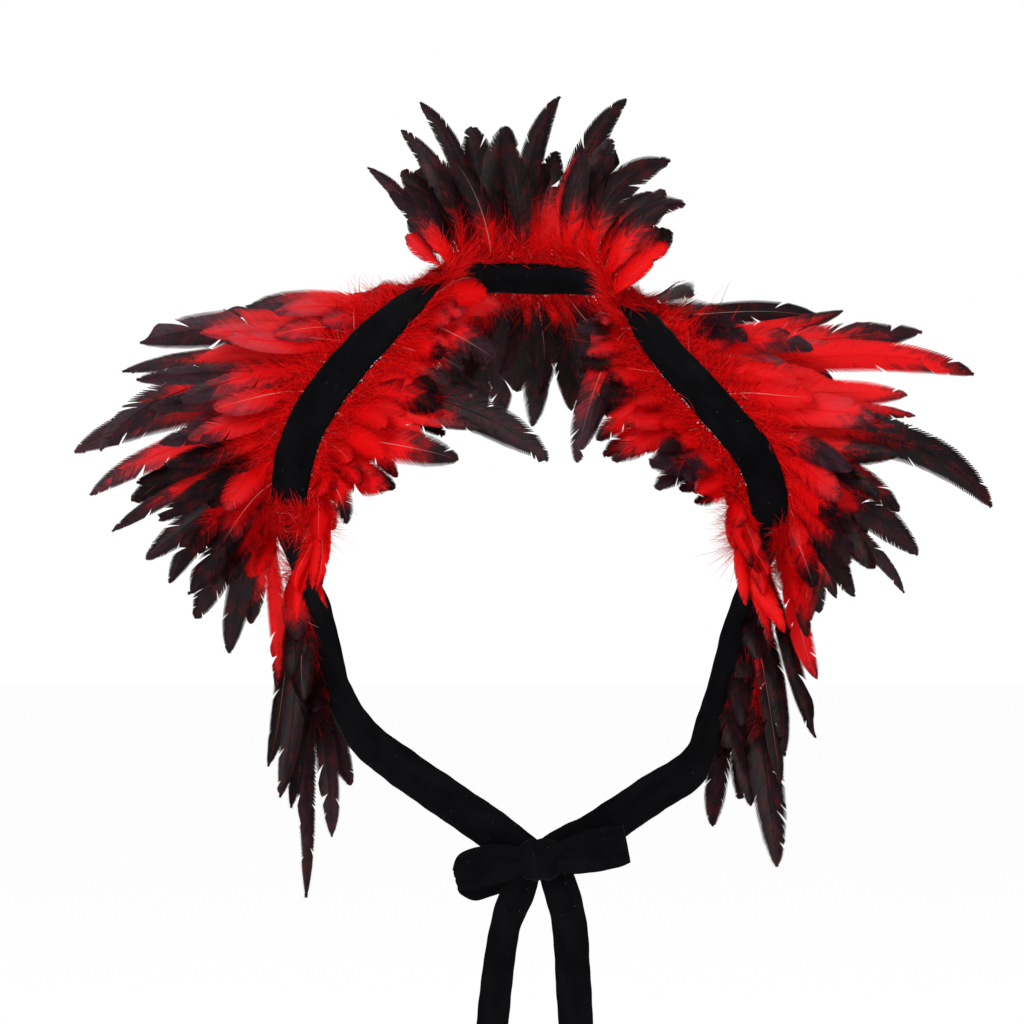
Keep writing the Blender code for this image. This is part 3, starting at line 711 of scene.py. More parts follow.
@dataclass
class Bow:
    """The bow at the waist: a wrapped knot, two loops and two tails."""

    loop_depth: float = 3.4
    loop_parting: float = 1.6
    loop_forward: float = 4.0
    loop_root: float = 10.0
    gather: float = 0.6
    creases: int = 5

    def loop(self, side: int, reach: float, droop: float, splay: float) -> Lies:
        """A loop's lies: out from the knot, round a fold and back.

        At a turn from 0 to a full circle: out by reach * sin(turn / 2), deep by loop_depth * sin(turn) +
        loop_parting * cos(turn / 2), along an axis that droops by an angle, and down by splay * sin(turn).

        Args:
            side: -1 for the left loop and 1 for the right one.
            reach: how far it stands out from the knot.
            droop: how far it hangs, in degrees.
            splay: how far its two leaves part, in millimetres.

        Returns:
            The lies, from its root round to its root again.
        """
        angle = math.radians(droop)
        slant = abs(math.sin(angle)) * RIBBON_WIDTH / 2 * self.gather
        rooted = KNOT_SIZE[0] / 2 + 0.3 + slant - self.loop_root
        start = np.array(KNOT_CENTRE) + (side * rooted, -self.loop_forward, 0.0)
        reach = reach + self.loop_root
        axis = np.array((side * math.cos(angle), 0.0, -math.sin(angle)))
        width = np.array((side * math.sin(angle), 0.0, math.cos(angle)))
        turn = np.linspace(0.0, 2 * math.pi, 49)[:, None]
        deep = self.loop_depth * np.sin(turn) + self.loop_parting * np.cos(turn / 2)
        deep_rate = self.loop_depth * np.cos(turn) - self.loop_parting / 2 * np.sin(turn / 2)
        back = np.array((0.0, 1.0, 0.0))
        along = unit(axis * (reach * np.cos(turn / 2) / 2) + back * deep_rate)
        point = start + axis * (reach * np.sin(turn / 2)) + back * deep - width * (splay * np.sin(turn))
        return Lies(point, along, np.cross(width, along), np.broadcast_to(width, along.shape))

    def tail(self, stops: tuple[Stop, ...]) -> Lies:
        """A tail's lies, from inside the knot down to its cut end."""
        first = stops[0]
        root = first._replace(x=(first.x + KNOT_CENTRE[0]) / 2, y=first.y + 2, z=KNOT_CENTRE[2] - 3)
        return Route((root, *stops)).lie(np.linspace(0, len(stops), 72))

    def knot(self, velvet: bpy.types.Material) -> bpy.types.Object:
        """The wrap of the knot: ribbon round a sideways core, with creases, its edges turned in.

        Round the core by an angle, the section is a superellipse: |y / b| ** 3 + |z / c| ** 3 = 1. Towards each
        side it narrows as (1 - |x / a| ** 4) ** 0.5, and creases cut into it as a cosine of the angle and x.

        Args:
            velvet: the velvet finish.

        Returns:
            The piece.
        """
        half = np.array(KNOT_SIZE) / 2
        turn = np.linspace(0, 2 * math.pi, 65)[None, :-1]
        x = np.sin(np.linspace(-1.0, 1.0, 25) * math.pi / 2 * 0.985)[:, None]
        radius = (np.abs(np.cos(turn)) ** 3 + np.abs(np.sin(turn)) ** 3) ** (-1 / 3)
        narrow = (1 - np.abs(x) ** 4) ** 0.5
        crease = 1 - 0.035 * (1 + np.cos(self.creases * (x * 2.4 + 0.35 * np.sin(turn + 0.6))))
        size = radius * narrow * crease
        middle = np.array(KNOT_CENTRE)
        grid = np.stack(
            np.broadcast_arrays(
                middle[0] + half[0] * x * 0.98,
                middle[1] + half[1] * size * np.cos(turn),
                middle[2] + half[2] * size * np.sin(turn),
            ),
            axis=-1,
        )
        patches = Patches()
        u = np.broadcast_to(turn * 14.0, grid.shape[:2])
        v = np.broadcast_to(x * half[0], grid.shape[:2])
        patches.add(grid[None], 0, True, u=u[None], v=v[None])
        piece = placed("bow_knot_velvet", patches.mesh("bow_knot_velvet"), "black_velvet", velvet)
        wall = piece.modifiers.new("pile", "SOLIDIFY")
        wall.thickness = PILE_THICKNESS * MM
        wall.offset = -1.0
        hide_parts("bow_knot")
        return piece

    def build(self, velvet: bpy.types.Material) -> None:
        """Makes the knot, loops and tails.

        Args:
            velvet: the velvet finish.
        """
        self.knot(velvet)
        both = (self.gather, self.gather)
        for name, side, reach, droop, splay, pinch in (
            ("bow_loop_left", -1, 44.0, 16.0, 4.5, 0.42),
            ("bow_loop_right", 1, 45.0, -12.0, 1.0, 0.05),
        ):
            loop = Ribbon(
                name, self.loop(side, reach, droop, splay), Held.FOLDED, lift=0.0, gathers=both, pinch=pinch,
                ripple=0.3, crown=0.2, pleat=0.9, phase=side,
            )
            loop.build(velvet)
        for name, stops, gather in (
            ("bow_tail_left", TAIL_LEFT_STOPS, 0.5),
            ("bow_tail_right", TAIL_RIGHT_STOPS, 0.9),
        ):
            tail = Ribbon(
                name, self.tail(stops), Held.HUNG, TAIL_WIDTH, 0.0, (gather, 1.0), ripple=0.6, pleat=1.6,
                phase=gather * 5,
            )
            tail.build(velvet)


# Feathers
@dataclass
class Quills:
    """The quills of a row: each feather's spine, side and look at even shares, its sizes and its colouring, with its
    painted sheen and a least dye that is painted shade for the feathers underneath.
    """

    spine: np.ndarray
    side: np.ndarray
    look: np.ndarray
    length: np.ndarray
    half: np.ndarray
    dark_from: np.ndarray
    bloom: np.ndarray
    # The least dye of each feather: random for the outline and filling ones, and higher for those underneath as
    # painted shade deep in the mass.
    depth: np.ndarray

    def frame_at(self, which: np.ndarray, share: np.ndarray) -> tuple[np.ndarray, np.ndarray, np.ndarray]:
        """Spine, side and look of feathers at shares of their length, between the even ones.

        Args:
            which: feather numbers.
            share: shares of the length, of a shape that the feather numbers spread over.

        Returns:
            Three arrays of vectors.
        """
        which, share = np.broadcast_arrays(which, share)
        last = self.spine.shape[1] - 1
        place = np.clip(share, 0.0, 1.0) * last
        low = np.minimum(place.astype(int), last - 1)
        part = (place - low)[..., None]
        tables = (self.spine, self.side, self.look)
        return tuple(t[which, low] * (1 - part) + t[which, low + 1] * part for t in tables)

    def point(self, which: np.ndarray, share: np.ndarray, across: np.ndarray, rise: np.ndarray) -> np.ndarray:
        """Points near the quills: spine + side * across + look * rise.

        Args:
            which: feather numbers.
            share: shares of the length.
            across: millimetres to the side.
            rise: millimetres towards the look.

        Returns:
            The points.
        """
        spine, side, look = self.frame_at(which, share)
        return spine + side * np.asarray(across)[..., None] + look * np.asarray(rise)[..., None]


@dataclass
class FeatherRow:
    """A trim of feathers under one edge of the band, each with a quill, barbed vanes and loose down."""

    name: str
    start: float
    end: float
    edge: Edge
    show: int
    faces: tuple[float, float, float]
    plumes: tuple[Plume, ...]
    fan: tuple[Fan, ...]
    count: int
    spread: float
    tones: tuple[Tone, ...]
    under: int = 20
    under_lengths: tuple[float, float] = (0.50, 0.42)
    under_width: float = 28.0
    covers: tuple[tuple[float, float], ...] = ()
    barbs: int = 72
    down: int = 80
    tuft_every: float = 2.6
    tuft_hairs: int = 30

    rings: tuple[tuple[float, float], ...] = ((0.0, 0.0), (0.13, 0.2), (0.37, 0.4), (0.63, 0.6), (0.85, 0.8))
    outline_shares: tuple[float, ...] = (0.0, 0.13, 0.30, 0.45, 0.62, 0.80, 0.90, 0.97, 1.0)
    outline_widths: tuple[float, ...] = (0.12, 0.28, 0.62, 0.94, 1.0, 0.86, 0.62, 0.32, 0.08)

    def __post_init__(self) -> None:
        """Starts the row's own random numbers, the same at every run."""
        self.random = np.random.default_rng(sum(map(ord, self.name)))

    def between(self, count: int, lengths: tuple[float, float], width: float, stray: int) -> np.ndarray:
        """Feathers dealt out at even stops, at the fan's bearing swung by a golden-ratio share of 16 degrees.

        Feather k has a length between two shares of the fan's, by another golden-ratio share, and lies on the
        layer k mod 3.

        Args:
            count: how many.
            lengths: the least share of the fan's length, and how much is added to it at most.
            width: about how wide they are.
            stray: a multiple of the golden ratio, which sets how they swing.

        Returns:
            One row for each feather: stop, tip x y z, width, bow and roll.
        """
        k = np.arange(count)
        stop = self.start + (self.end - self.start) * (k + 0.5) / count
        fan = np.array(sorted(self.fan), dtype=float)
        bearing, length, depth = (np.interp(stop, fan[:, 0], fan[:, column]) for column in (1, 2, 3))
        swing = (k * GOLDEN * stray) % 1.0 - 0.5
        layer = k % 3 - 1
        angle = np.radians(bearing + 16 * swing)
        length = length * (lengths[0] + lengths[1] * ((k * GOLDEN * 2) % 1.0))
        reach = np.column_stack((np.cos(angle) * length, depth + layer * self.spread, np.sin(angle) * length))
        tip = LOOP.lie(stop).point + reach
        widths = width * (0.85 + 0.3 * swing)
        return np.column_stack((stop, tip, widths, 0.05 + 0.1 * np.abs(swing), 14.0 * layer))

    def dealt(self) -> np.ndarray:
        """The row's feathers as in the solids, outline ones first, in rows as between gives them."""
        plumes = np.array(self.plumes, dtype=float)
        rolls = 10.0 * (np.arange(len(plumes)) % 3 - 1)
        filling = self.between(self.count, (0.86, 0.3), 24.0, 1)
        return np.vstack((np.column_stack((plumes, rolls)), filling))

    def seated(self, feathers: np.ndarray) -> np.ndarray:
        """The feathers that the solid has, with their tips moved back or forwards as its tips are.

        Args:
            feathers: the feathers as dealt.

        Returns:
            Those with a tip in the solid, in that tip's depth.
        """
        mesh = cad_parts[self.name].data
        points = np.empty(len(mesh.vertices) * 3, dtype=np.float32)
        mesh.vertices.foreach_get("co", points)
        points = points.reshape(-1, 3) / MM
        aside = np.hypot(points[None, :, 0] - feathers[:, None, 1], points[None, :, 2] - feathers[:, None, 3])
        moved = np.abs(points[None, :, 1] - feathers[:, None, 2])
        cost = np.where(aside < 0.3, moved, np.inf)
        nearest = np.argmin(cost, axis=1)
        found = np.isfinite(cost[np.arange(len(feathers)), nearest])
        seated = feathers.copy()
        seated[:, 2] = points[nearest, 1]
        LOG.info("%s: %d of %d feathers are in the solid", self.name, found.sum(), len(found))
        return seated[found]

    def quills(self, samples: int = 41) -> Quills:
        """The quills, with the facing carried along each from the band's to the row's.

        A spine is a cubic from the root: (1-t)^3 root + 3(1-t)^2 t first + 3(1-t) t^2 second + t^3 tip, where first
        lies along the way it leaves the band and second is 0.66 of the chord, arched sideways by bow * length.
        Past its middle a feather inside the outline also curls sideways, by the square of t - 0.5.
        At each ring, the facing is its old part square to the spine, blended with the row's own.

        Args:
            samples: how many even shares are kept.

        Returns:
            The row's quills.
        """
        known = self.seated(self.dealt())
        under = self.between(self.under, self.under_lengths, self.under_width, 5)
        hook = self.random.uniform(-0.32, 0.32, len(known) + len(under))
        hook[: len(self.plumes)] = 0.0
        stop, *tip, width, bow, roll = np.vstack((known, under)).T
        tip = np.column_stack(tip)
        lies = LOOP.lie(stop)
        side = lies.out * self.edge.value
        root = lies.point + side * (RIBBON_WIDTH / 2 - QUILL_INSET)
        chord = tip - root
        length = np.linalg.norm(chord, axis=1)
        flat = chord - dot(chord, lies.face) * lies.face
        leave = unit(side * 0.8 + unit(flat) * 0.6)
        sign = np.where(chord[:, 0] > 0, 1.0, -1.0)
        arch = unit(np.column_stack((-sign * chord[:, 2], np.zeros(len(sign)), sign * chord[:, 0])))
        first = root + leave * (QUILL_REACH + 0.1 * length)[:, None]
        second = root + chord * 0.66 + arch * (bow * length)[:, None]

        def spine(t: np.ndarray) -> np.ndarray:
            """Points of every feather's cubic at shares t."""
            t = t[None, :, None]
            s = 1 - t
            curl = arch[:, None] * (hook * length)[:, None, None] * np.maximum(0.0, t - 0.5) ** 2
            return (
                root[:, None] * s**3 + first[:, None] * (3 * s * s * t) + second[:, None] * (3 * s * t * t)
                + tip[:, None] * t**3 + curl
            )

        own = np.array(self.faces)
        shares = np.array([ring[0] for ring in self.rings])
        turned = np.array([ring[1] for ring in self.rings])
        along = unit(spine(shares + 0.02) - spine(shares))
        facing = lies.face * self.show
        facings = []
        for ring, turn in enumerate(turned):
            here = along[:, ring]
            facing = unit(square_to(here, facing) * (1 - turn) + square_to(here, own) * turn)
            facings.append(facing)
        facings = np.stack(facings, axis=1)
        t = np.linspace(0.0, 1.0, samples)
        place = np.clip(np.interp(t, shares, np.arange(len(shares))), 0, len(shares) - 1)
        low = np.minimum(place.astype(int), len(shares) - 2)
        part = (place - low)[None, :, None]
        smooth = facings[:, low] * (1 - part) + facings[:, low + 1] * part
        along = unit(spine(np.minimum(t + 0.01, 1.0)) - spine(np.minimum(t + 0.01, 1.0) - 0.02))
        smooth = square_to(along, smooth)
        rolled = np.radians(roll)[:, None, None] * np.minimum(1.0, 3 * t)[None, :, None]
        look = smooth * np.cos(rolled) - np.cross(along, smooth) * np.sin(rolled)
        dark_from, bloom = self.dyes(stop, length)
        bloom[: len(self.plumes)] = np.clip(bloom[: len(self.plumes)], 0.0, 0.9)
        tones = np.array(sorted(self.tones), dtype=float)
        half = width / 2 * np.interp(stop, tones[:, 0], tones[:, 3])
        # The least dye: random for the outline and filling feathers, and darker for the feathers underneath, as
        # painted shade deep in the mass.
        depth = self.random.uniform(0.0, 0.45, len(stop))
        depth[len(known):] = self.random.uniform(0.1, 0.68, len(under))
        return Quills(spine(t), np.cross(along, look), look, length, half, dark_from, bloom, depth)

    def outline(self, share: np.ndarray) -> np.ndarray:
        """Half a vane's width at shares of its length, as a share of its greatest half width."""
        return np.interp(share, self.outline_shares, self.outline_widths)

    def dyes(self, stop: np.ndarray, length: np.ndarray) -> tuple[np.ndarray, np.ndarray]:
        """For each feather, the share of its length where it turns dark, and how much painted sheen it has.

        A feather that is shorter than its fan turns dark no nearer to the band than the others.

        Args:
            stop: where each feather leaves the band.
            length: its length.

        Returns:
            The shares and the amounts of painted sheen.
        """
        tones = np.array(sorted(self.tones), dtype=float)
        fan = np.array(sorted(self.fan), dtype=float)
        shortness = np.maximum(1.0, np.interp(stop, fan[:, 0], fan[:, 2]) / length)
        count = len(stop)
        dark = np.interp(stop, tones[:, 0], tones[:, 1]) + self.random.normal(0, 0.12, count)
        bloom = np.interp(stop, tones[:, 0], tones[:, 2]) * self.random.uniform(0.0, 1.7, count)
        return (1 - np.clip(dark, 0.03, 0.97)) * shortness, np.clip(bloom, 0.0, 1.2)

    def add_vanes(self, patches: Patches, quills: Quills) -> None:
        """Barbs on both sides of each quill, in clumps whose ends draw together and part from the next.

        A barb leaves the quill at share b, and at s from 0 to 1 it is across by w * s ** 0.9 and further along by
        w * cot(sweep) * s ** 1.5, held short of the tip by a curve. Its half width w is the outline's where it
        ends, found in four steps. It starts just past the quill, so that both sides meet under the shaft. Its end
        moves s squared of the way to its clump's middle. It is a strip of two rails, narrower at its end.

        Args:
            patches: where the barbs go.
            quills: the row's quills.
        """
        random = self.random
        feathers = len(quills.length)
        shape = (feathers, 2, self.barbs)
        which = np.arange(feathers)[:, None, None]
        length = quills.length[:, None, None]
        half = quills.half[:, None, None]
        hand = np.array((-1.0, 1.0))[None, :, None]
        even = np.linspace(0.0, 1.0, self.barbs)[None, None, :]
        base = 0.05 + 0.945 * even**0.92 + np.zeros(shape)
        spacing = 0.95 / self.barbs * length
        breaks = random.random(shape) < 0.08
        clump = np.cumsum(breaks, axis=2)
        key = clump + 1000 * (np.arange(feathers * 2).reshape(feathers, 2, 1))
        _, number = np.unique(key, return_inverse=True)
        number = number.reshape(shape)
        middle = (np.bincount(number.ravel(), base.ravel()) / np.bincount(number.ravel()))[number]
        groups = number.max() + 1
        parted = random.random(groups) < 0.07
        pull = np.where(parted, random.uniform(0.3, 0.6, groups), random.uniform(0.0, 0.10, groups))[number]
        short = 1 - random.uniform(0.0, 0.05, groups)[number] - random.uniform(0.0, 0.02, shape)
        sweep = np.radians(np.interp(base, (0.0, 0.5, 1.0), (58.0, 44.0, 26.0)) + random.normal(0, 3, groups)[number])
        reached = base
        for _ in range(4):
            lag = half * self.outline(reached) / np.tan(sweep) / length
            room = np.maximum(1.004 - base, 1e-3)
            reached = base + room * (1 - np.exp(-lag / room))
        wide = half * self.outline(reached) * short
        s = np.linspace(0.0, 1.0, 5)

        def spread(array: np.ndarray) -> np.ndarray:
            """The same array with an axis more, for the stations along a barb."""
            return np.broadcast_to(array, shape)[..., None]

        across = spread(wide) * s**0.9 - spread(0.45 * spacing) * (1 - s)
        ahead = spread(wide / np.tan(sweep) / length) * s**1.5
        room = spread(np.maximum(1.004 - base, 1e-3))
        ahead = room * (1 - np.exp(-ahead / room))
        share = spread(base) + ahead + spread((middle - base) * pull) * s**2
        run = np.gradient(share, axis=-1) * spread(length)
        rise = np.gradient(across, axis=-1)
        size = np.hypot(run, rise) + 1e-9
        breadth = spread(spacing * 0.98 + 0.25) * (1 - 0.72 * s**2)
        rails = np.array((-0.5, 0.5))
        rail_share = share[..., None] - (rise / size * breadth / spread(length))[..., None] * rails
        rail_across = across[..., None] + (run / size * breadth)[..., None] * rails
        cup = half * VANE_CUP * np.minimum(1.0, 4 * base)
        sink = -spread(cup) * (np.abs(across) / spread(np.maximum(half, 1.0))) ** 1.6
        shingle = random.normal(0, 0.22, shape)[..., None] * s
        tilt = np.array((0.16, -0.16)) + random.normal(0, 0.08, shape)[..., None, None]
        lifted = (sink + shingle)[..., None] + tilt * (0.3 + s)[:, None] + 0.35
        points = quills.point(
            which[..., None, None], rail_share, rail_across * hand[..., None, None], lifted
        ).reshape(-1, len(s), 2, 3)

        wander = random.normal(0, 0.035, groups)[number] + random.normal(0, 0.02, shape)
        edge = spread(wander) - 0.06 * s
        dye = np.clip((share - spread(quills.dark_from[:, None, None]) - edge) / 0.40 + 0.5, 0.0, 1.0)
        # Painted shade as well as dye: no barb is lighter than its feather's least dye, most towards its end.
        dye = np.maximum(dye, spread(quills.depth[:, None, None] + wander) * (0.4 + 0.6 * s))
        # Painted sheen in clumps, growing past 0.38 of the feather and towards each barb's end.
        shine = spread(quills.bloom[:, None, None] * random.uniform(0.5, 1.2, groups)[number])
        shine = shine * np.clip((share - 0.38) * 2.6, 0.0, 1.0) * (0.5 + 0.5 * s)
        flat = (-1, len(s), 1)
        u = (spread(base * length)[..., None] + rails * breadth[..., None]).reshape(-1, len(s), 2)
        v = np.broadcast_to(s[:, None] * 2.0, (len(u), len(s), 2))
        pale = np.zeros(dye.shape)
        patches.add(
            points, 0, False, dye=dye.reshape(flat), bloom=shine.reshape(flat), pale=pale.reshape(flat), u=u, v=v
        )

    def add_shafts(self, patches: Patches, quills: Quills) -> None:
        """The shaft of each feather: a four-sided tube along the quill, thinner towards the tip.

        Args:
            patches: where the shafts go.
            quills: the row's quills.
        """
        feathers = len(quills.length)
        share = np.linspace(0.0, 0.96, 15)
        turn = np.arange(4) * math.pi / 2
        radius = (0.66 - 0.6 * share)[None, :, None] * np.clip(quills.half / 11, 0.6, 1.3)[:, None, None]
        across = radius * np.cos(turn)
        rise = radius * 0.7 * np.sin(turn) + 0.45
        which = np.arange(feathers)[:, None, None]
        points = quills.point(which, np.broadcast_to(share[None, :, None], across.shape), across, rise)
        dye = np.clip((share[None, :] - quills.dark_from[:, None]) / 0.3 + 0.55, 0.15, 1.0)[..., None]
        pale = (self.random.random(feathers) < 0.14)[:, None, None] * np.linspace(0.7, 0.1, 15)[None, :, None]
        u = np.broadcast_to(share[None, :, None] * 100, points.shape[:3])
        patches.add(points, 0, True, dye=dye, bloom=np.zeros(dye.shape), pale=pale, u=u, v=np.ones(dye.shape))

    def add_hairs(
        self, patches: Patches, base: np.ndarray, heading: np.ndarray, bend: np.ndarray, length: np.ndarray,
        dye: np.ndarray, pale: np.ndarray, breadth: float,
    ) -> None:
        """Loose barbs of down, each a thin curved strip.

        At s from 0 to 1 a hair is at base + heading * length * s + bend * length * s squared, with a small wave.

        Args:
            patches: where the hairs go.
            base: where each hair starts.
            heading: the unit vector it starts along.
            bend: how it bends away from that.
            length: its length.
            dye: its colour, 0 red to 1 dark.
            pale: how pale its end is.
            breadth: its width at the root.
        """
        count = len(base)
        s = np.linspace(0.0, 1.0, 5)[None, :, None]
        flatways = unit(np.cross(heading, self.random.normal(0, 1, (count, 3))))
        upright = np.cross(heading, flatways)
        wave = np.sin(s * 7.0 + self.random.uniform(0, 6.3, (count, 1, 1))) * s * 0.035
        size = length[:, None, None]
        middle = base[:, None] + size * (heading[:, None] * s + bend[:, None] * s**2 + upright[:, None] * wave)
        wide = flatways[:, None] * (breadth * (1.05 - s) ** 0.6)
        points = np.stack((middle - wide / 2, middle + wide / 2), axis=2)
        shade = dye[:, None, None] + np.zeros((1, 5, 1))
        ends = pale[:, None, None] * s
        patches.add(points, 0, False, dye=shade, bloom=shade * 0, pale=ends, u=shade, v=shade)

    def add_down(self, patches: Patches, quills: Quills) -> None:
        """Down on the lower part of every feather, which spreads to both sides and a little to both faces.

        Args:
            patches: where the hairs go.
            quills: the row's quills.
        """
        random = self.random
        feathers = len(quills.length)
        count = feathers * self.down
        which = np.repeat(np.arange(feathers), self.down)
        share = random.uniform(0.0, 1.0, count) ** 1.2 * 0.46
        spine, side, look = quills.frame_at(which, share)
        onward = unit(quills.frame_at(which, share + 0.05)[0] - spine)
        hand = np.where(random.random(count) < 0.5, -1.0, 1.0)[:, None]
        lean = np.radians(random.uniform(18, 68, count))[:, None]
        lift = np.radians(random.normal(6, 26, count))[:, None]
        heading = unit(onward * np.cos(lean) + (side * hand * np.cos(lift) + look * np.sin(lift)) * np.sin(lean))
        bend = onward * random.uniform(0.0, 0.35, (count, 1)) + random.normal(0, 0.16, (count, 3))
        length = random.uniform(11, 27, count) * (1.12 - share) * np.clip(quills.length[which] / 110, 0.6, 1.15)
        shade = random.normal(0, 0.16, count)
        dye = np.clip((share - quills.dark_from[which]) / 0.3 + 0.35 + shade, 0.0, 1.0)
        pale = (random.random(count) < 0.012) * 0.7
        self.add_hairs(patches, spine, heading, bend, length, dye, pale, 0.55)

    def add_tufts(self, patches: Patches) -> None:
        """Short down all along the sewn edge, which fans outward and hides the roots, shortest by the neck.

        Args:
            patches: where the hairs go.
        """
        random = self.random
        rough = LOOP.lie(np.linspace(self.start, self.end, 60)).point
        run = float(np.sum(np.linalg.norm(np.diff(rough, axis=0), axis=1)))
        count = round(run / self.tuft_every) * self.tuft_hairs
        stop = random.uniform(self.start, self.end, count)
        lies = LOOP.lie(stop)
        side = lies.out * self.edge.value
        inset = random.uniform(-1.0, 2.5, count)[:, None]
        level = random.uniform(-2.4, 0.0, count)[:, None]
        base = lies.point + side * (RIBBON_WIDTH / 2 - inset) + lies.face * level
        slew = np.radians(np.clip(random.normal(0, 32, count), -62, 62))[:, None]
        lift = np.radians(random.normal(8, 15, count))[:, None]
        heading = unit((side * np.cos(slew) + lies.along * np.sin(slew)) * np.cos(lift) + lies.face * np.sin(lift))
        bend = random.normal(0, 0.17, (count, 3))
        bend = bend - side * np.minimum(0.0, dot(bend, side))
        length = random.uniform(13, 32, count) * np.clip(np.abs(stop) / 5, 0.5, 1.0)
        dye = np.clip(random.normal(0.05, 0.2, count), 0.0, 1.0)
        pale = (random.random(count) < 0.01) * 0.6
        self.add_hairs(patches, base, heading, bend, length, dye, pale, 0.55)

    def add_cover(self, patches: Patches, start: float, end: float) -> None:
        """Down that lies over the ribbon between two stops, from the edge inwards and along.

        Args:
            patches: where the hairs go.
            start: the first stop.
            end: the last stop.
        """
        random = self.random
        count = round(abs(end - start) * 700)
        lies = LOOP.lie(random.uniform(start, end, count))
        side = lies.out * self.edge.value
        inset = random.uniform(-2.0, 9.0, count)[:, None]
        base = lies.point + side * (RIBBON_WIDTH / 2 - inset) + lies.face * random.uniform(3.2, 5.0, count)[:, None]
        slew = np.radians(random.uniform(-180, 180, count))[:, None]
        lift = np.radians(random.uniform(2, 26, count))[:, None]
        heading = unit((side * np.cos(slew) + lies.along * np.sin(slew)) * np.cos(lift) + lies.face * np.sin(lift))
        bend = random.normal(0, 0.12, (count, 3))
        dye = np.clip(random.normal(0.08, 0.2, count), 0.0, 1.0)
        pale = (random.random(count) < 0.02) * 0.6
        self.add_hairs(patches, base, heading, bend, random.uniform(8, 19, count), dye, pale, 0.36)

    def build(self, vane: bpy.types.Material, down: bpy.types.Material) -> bpy.types.Object:
        """Makes the row as two pieces, its plumage and its down.

        Args:
            vane: the finish of the vanes and shafts.
            down: the finish of the loose down.

        Returns:
            The plumage, which stands for the solid of its own name.
        """
        quills = self.quills()
        patches = Patches()
        self.add_vanes(patches, quills)
        self.add_shafts(patches, quills)
        plumage = placed(self.name + "_plumage", patches.mesh(self.name + "_plumage"), "red_feather", vane)
        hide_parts(self.name)
        patches = Patches()
        self.add_down(patches, quills)
        self.add_tufts(patches)
        for start, end in self.covers:
            self.add_cover(patches, start, end)
        fluff = placed(self.name + "_down", patches.mesh(self.name + "_down"), "red_feather", down)
        sizes = (2 * len(piece.data.polygons) for piece in (plumage, fluff))
        LOG.info("%s: %d and %d triangles", self.name, *sizes)
        return plumage


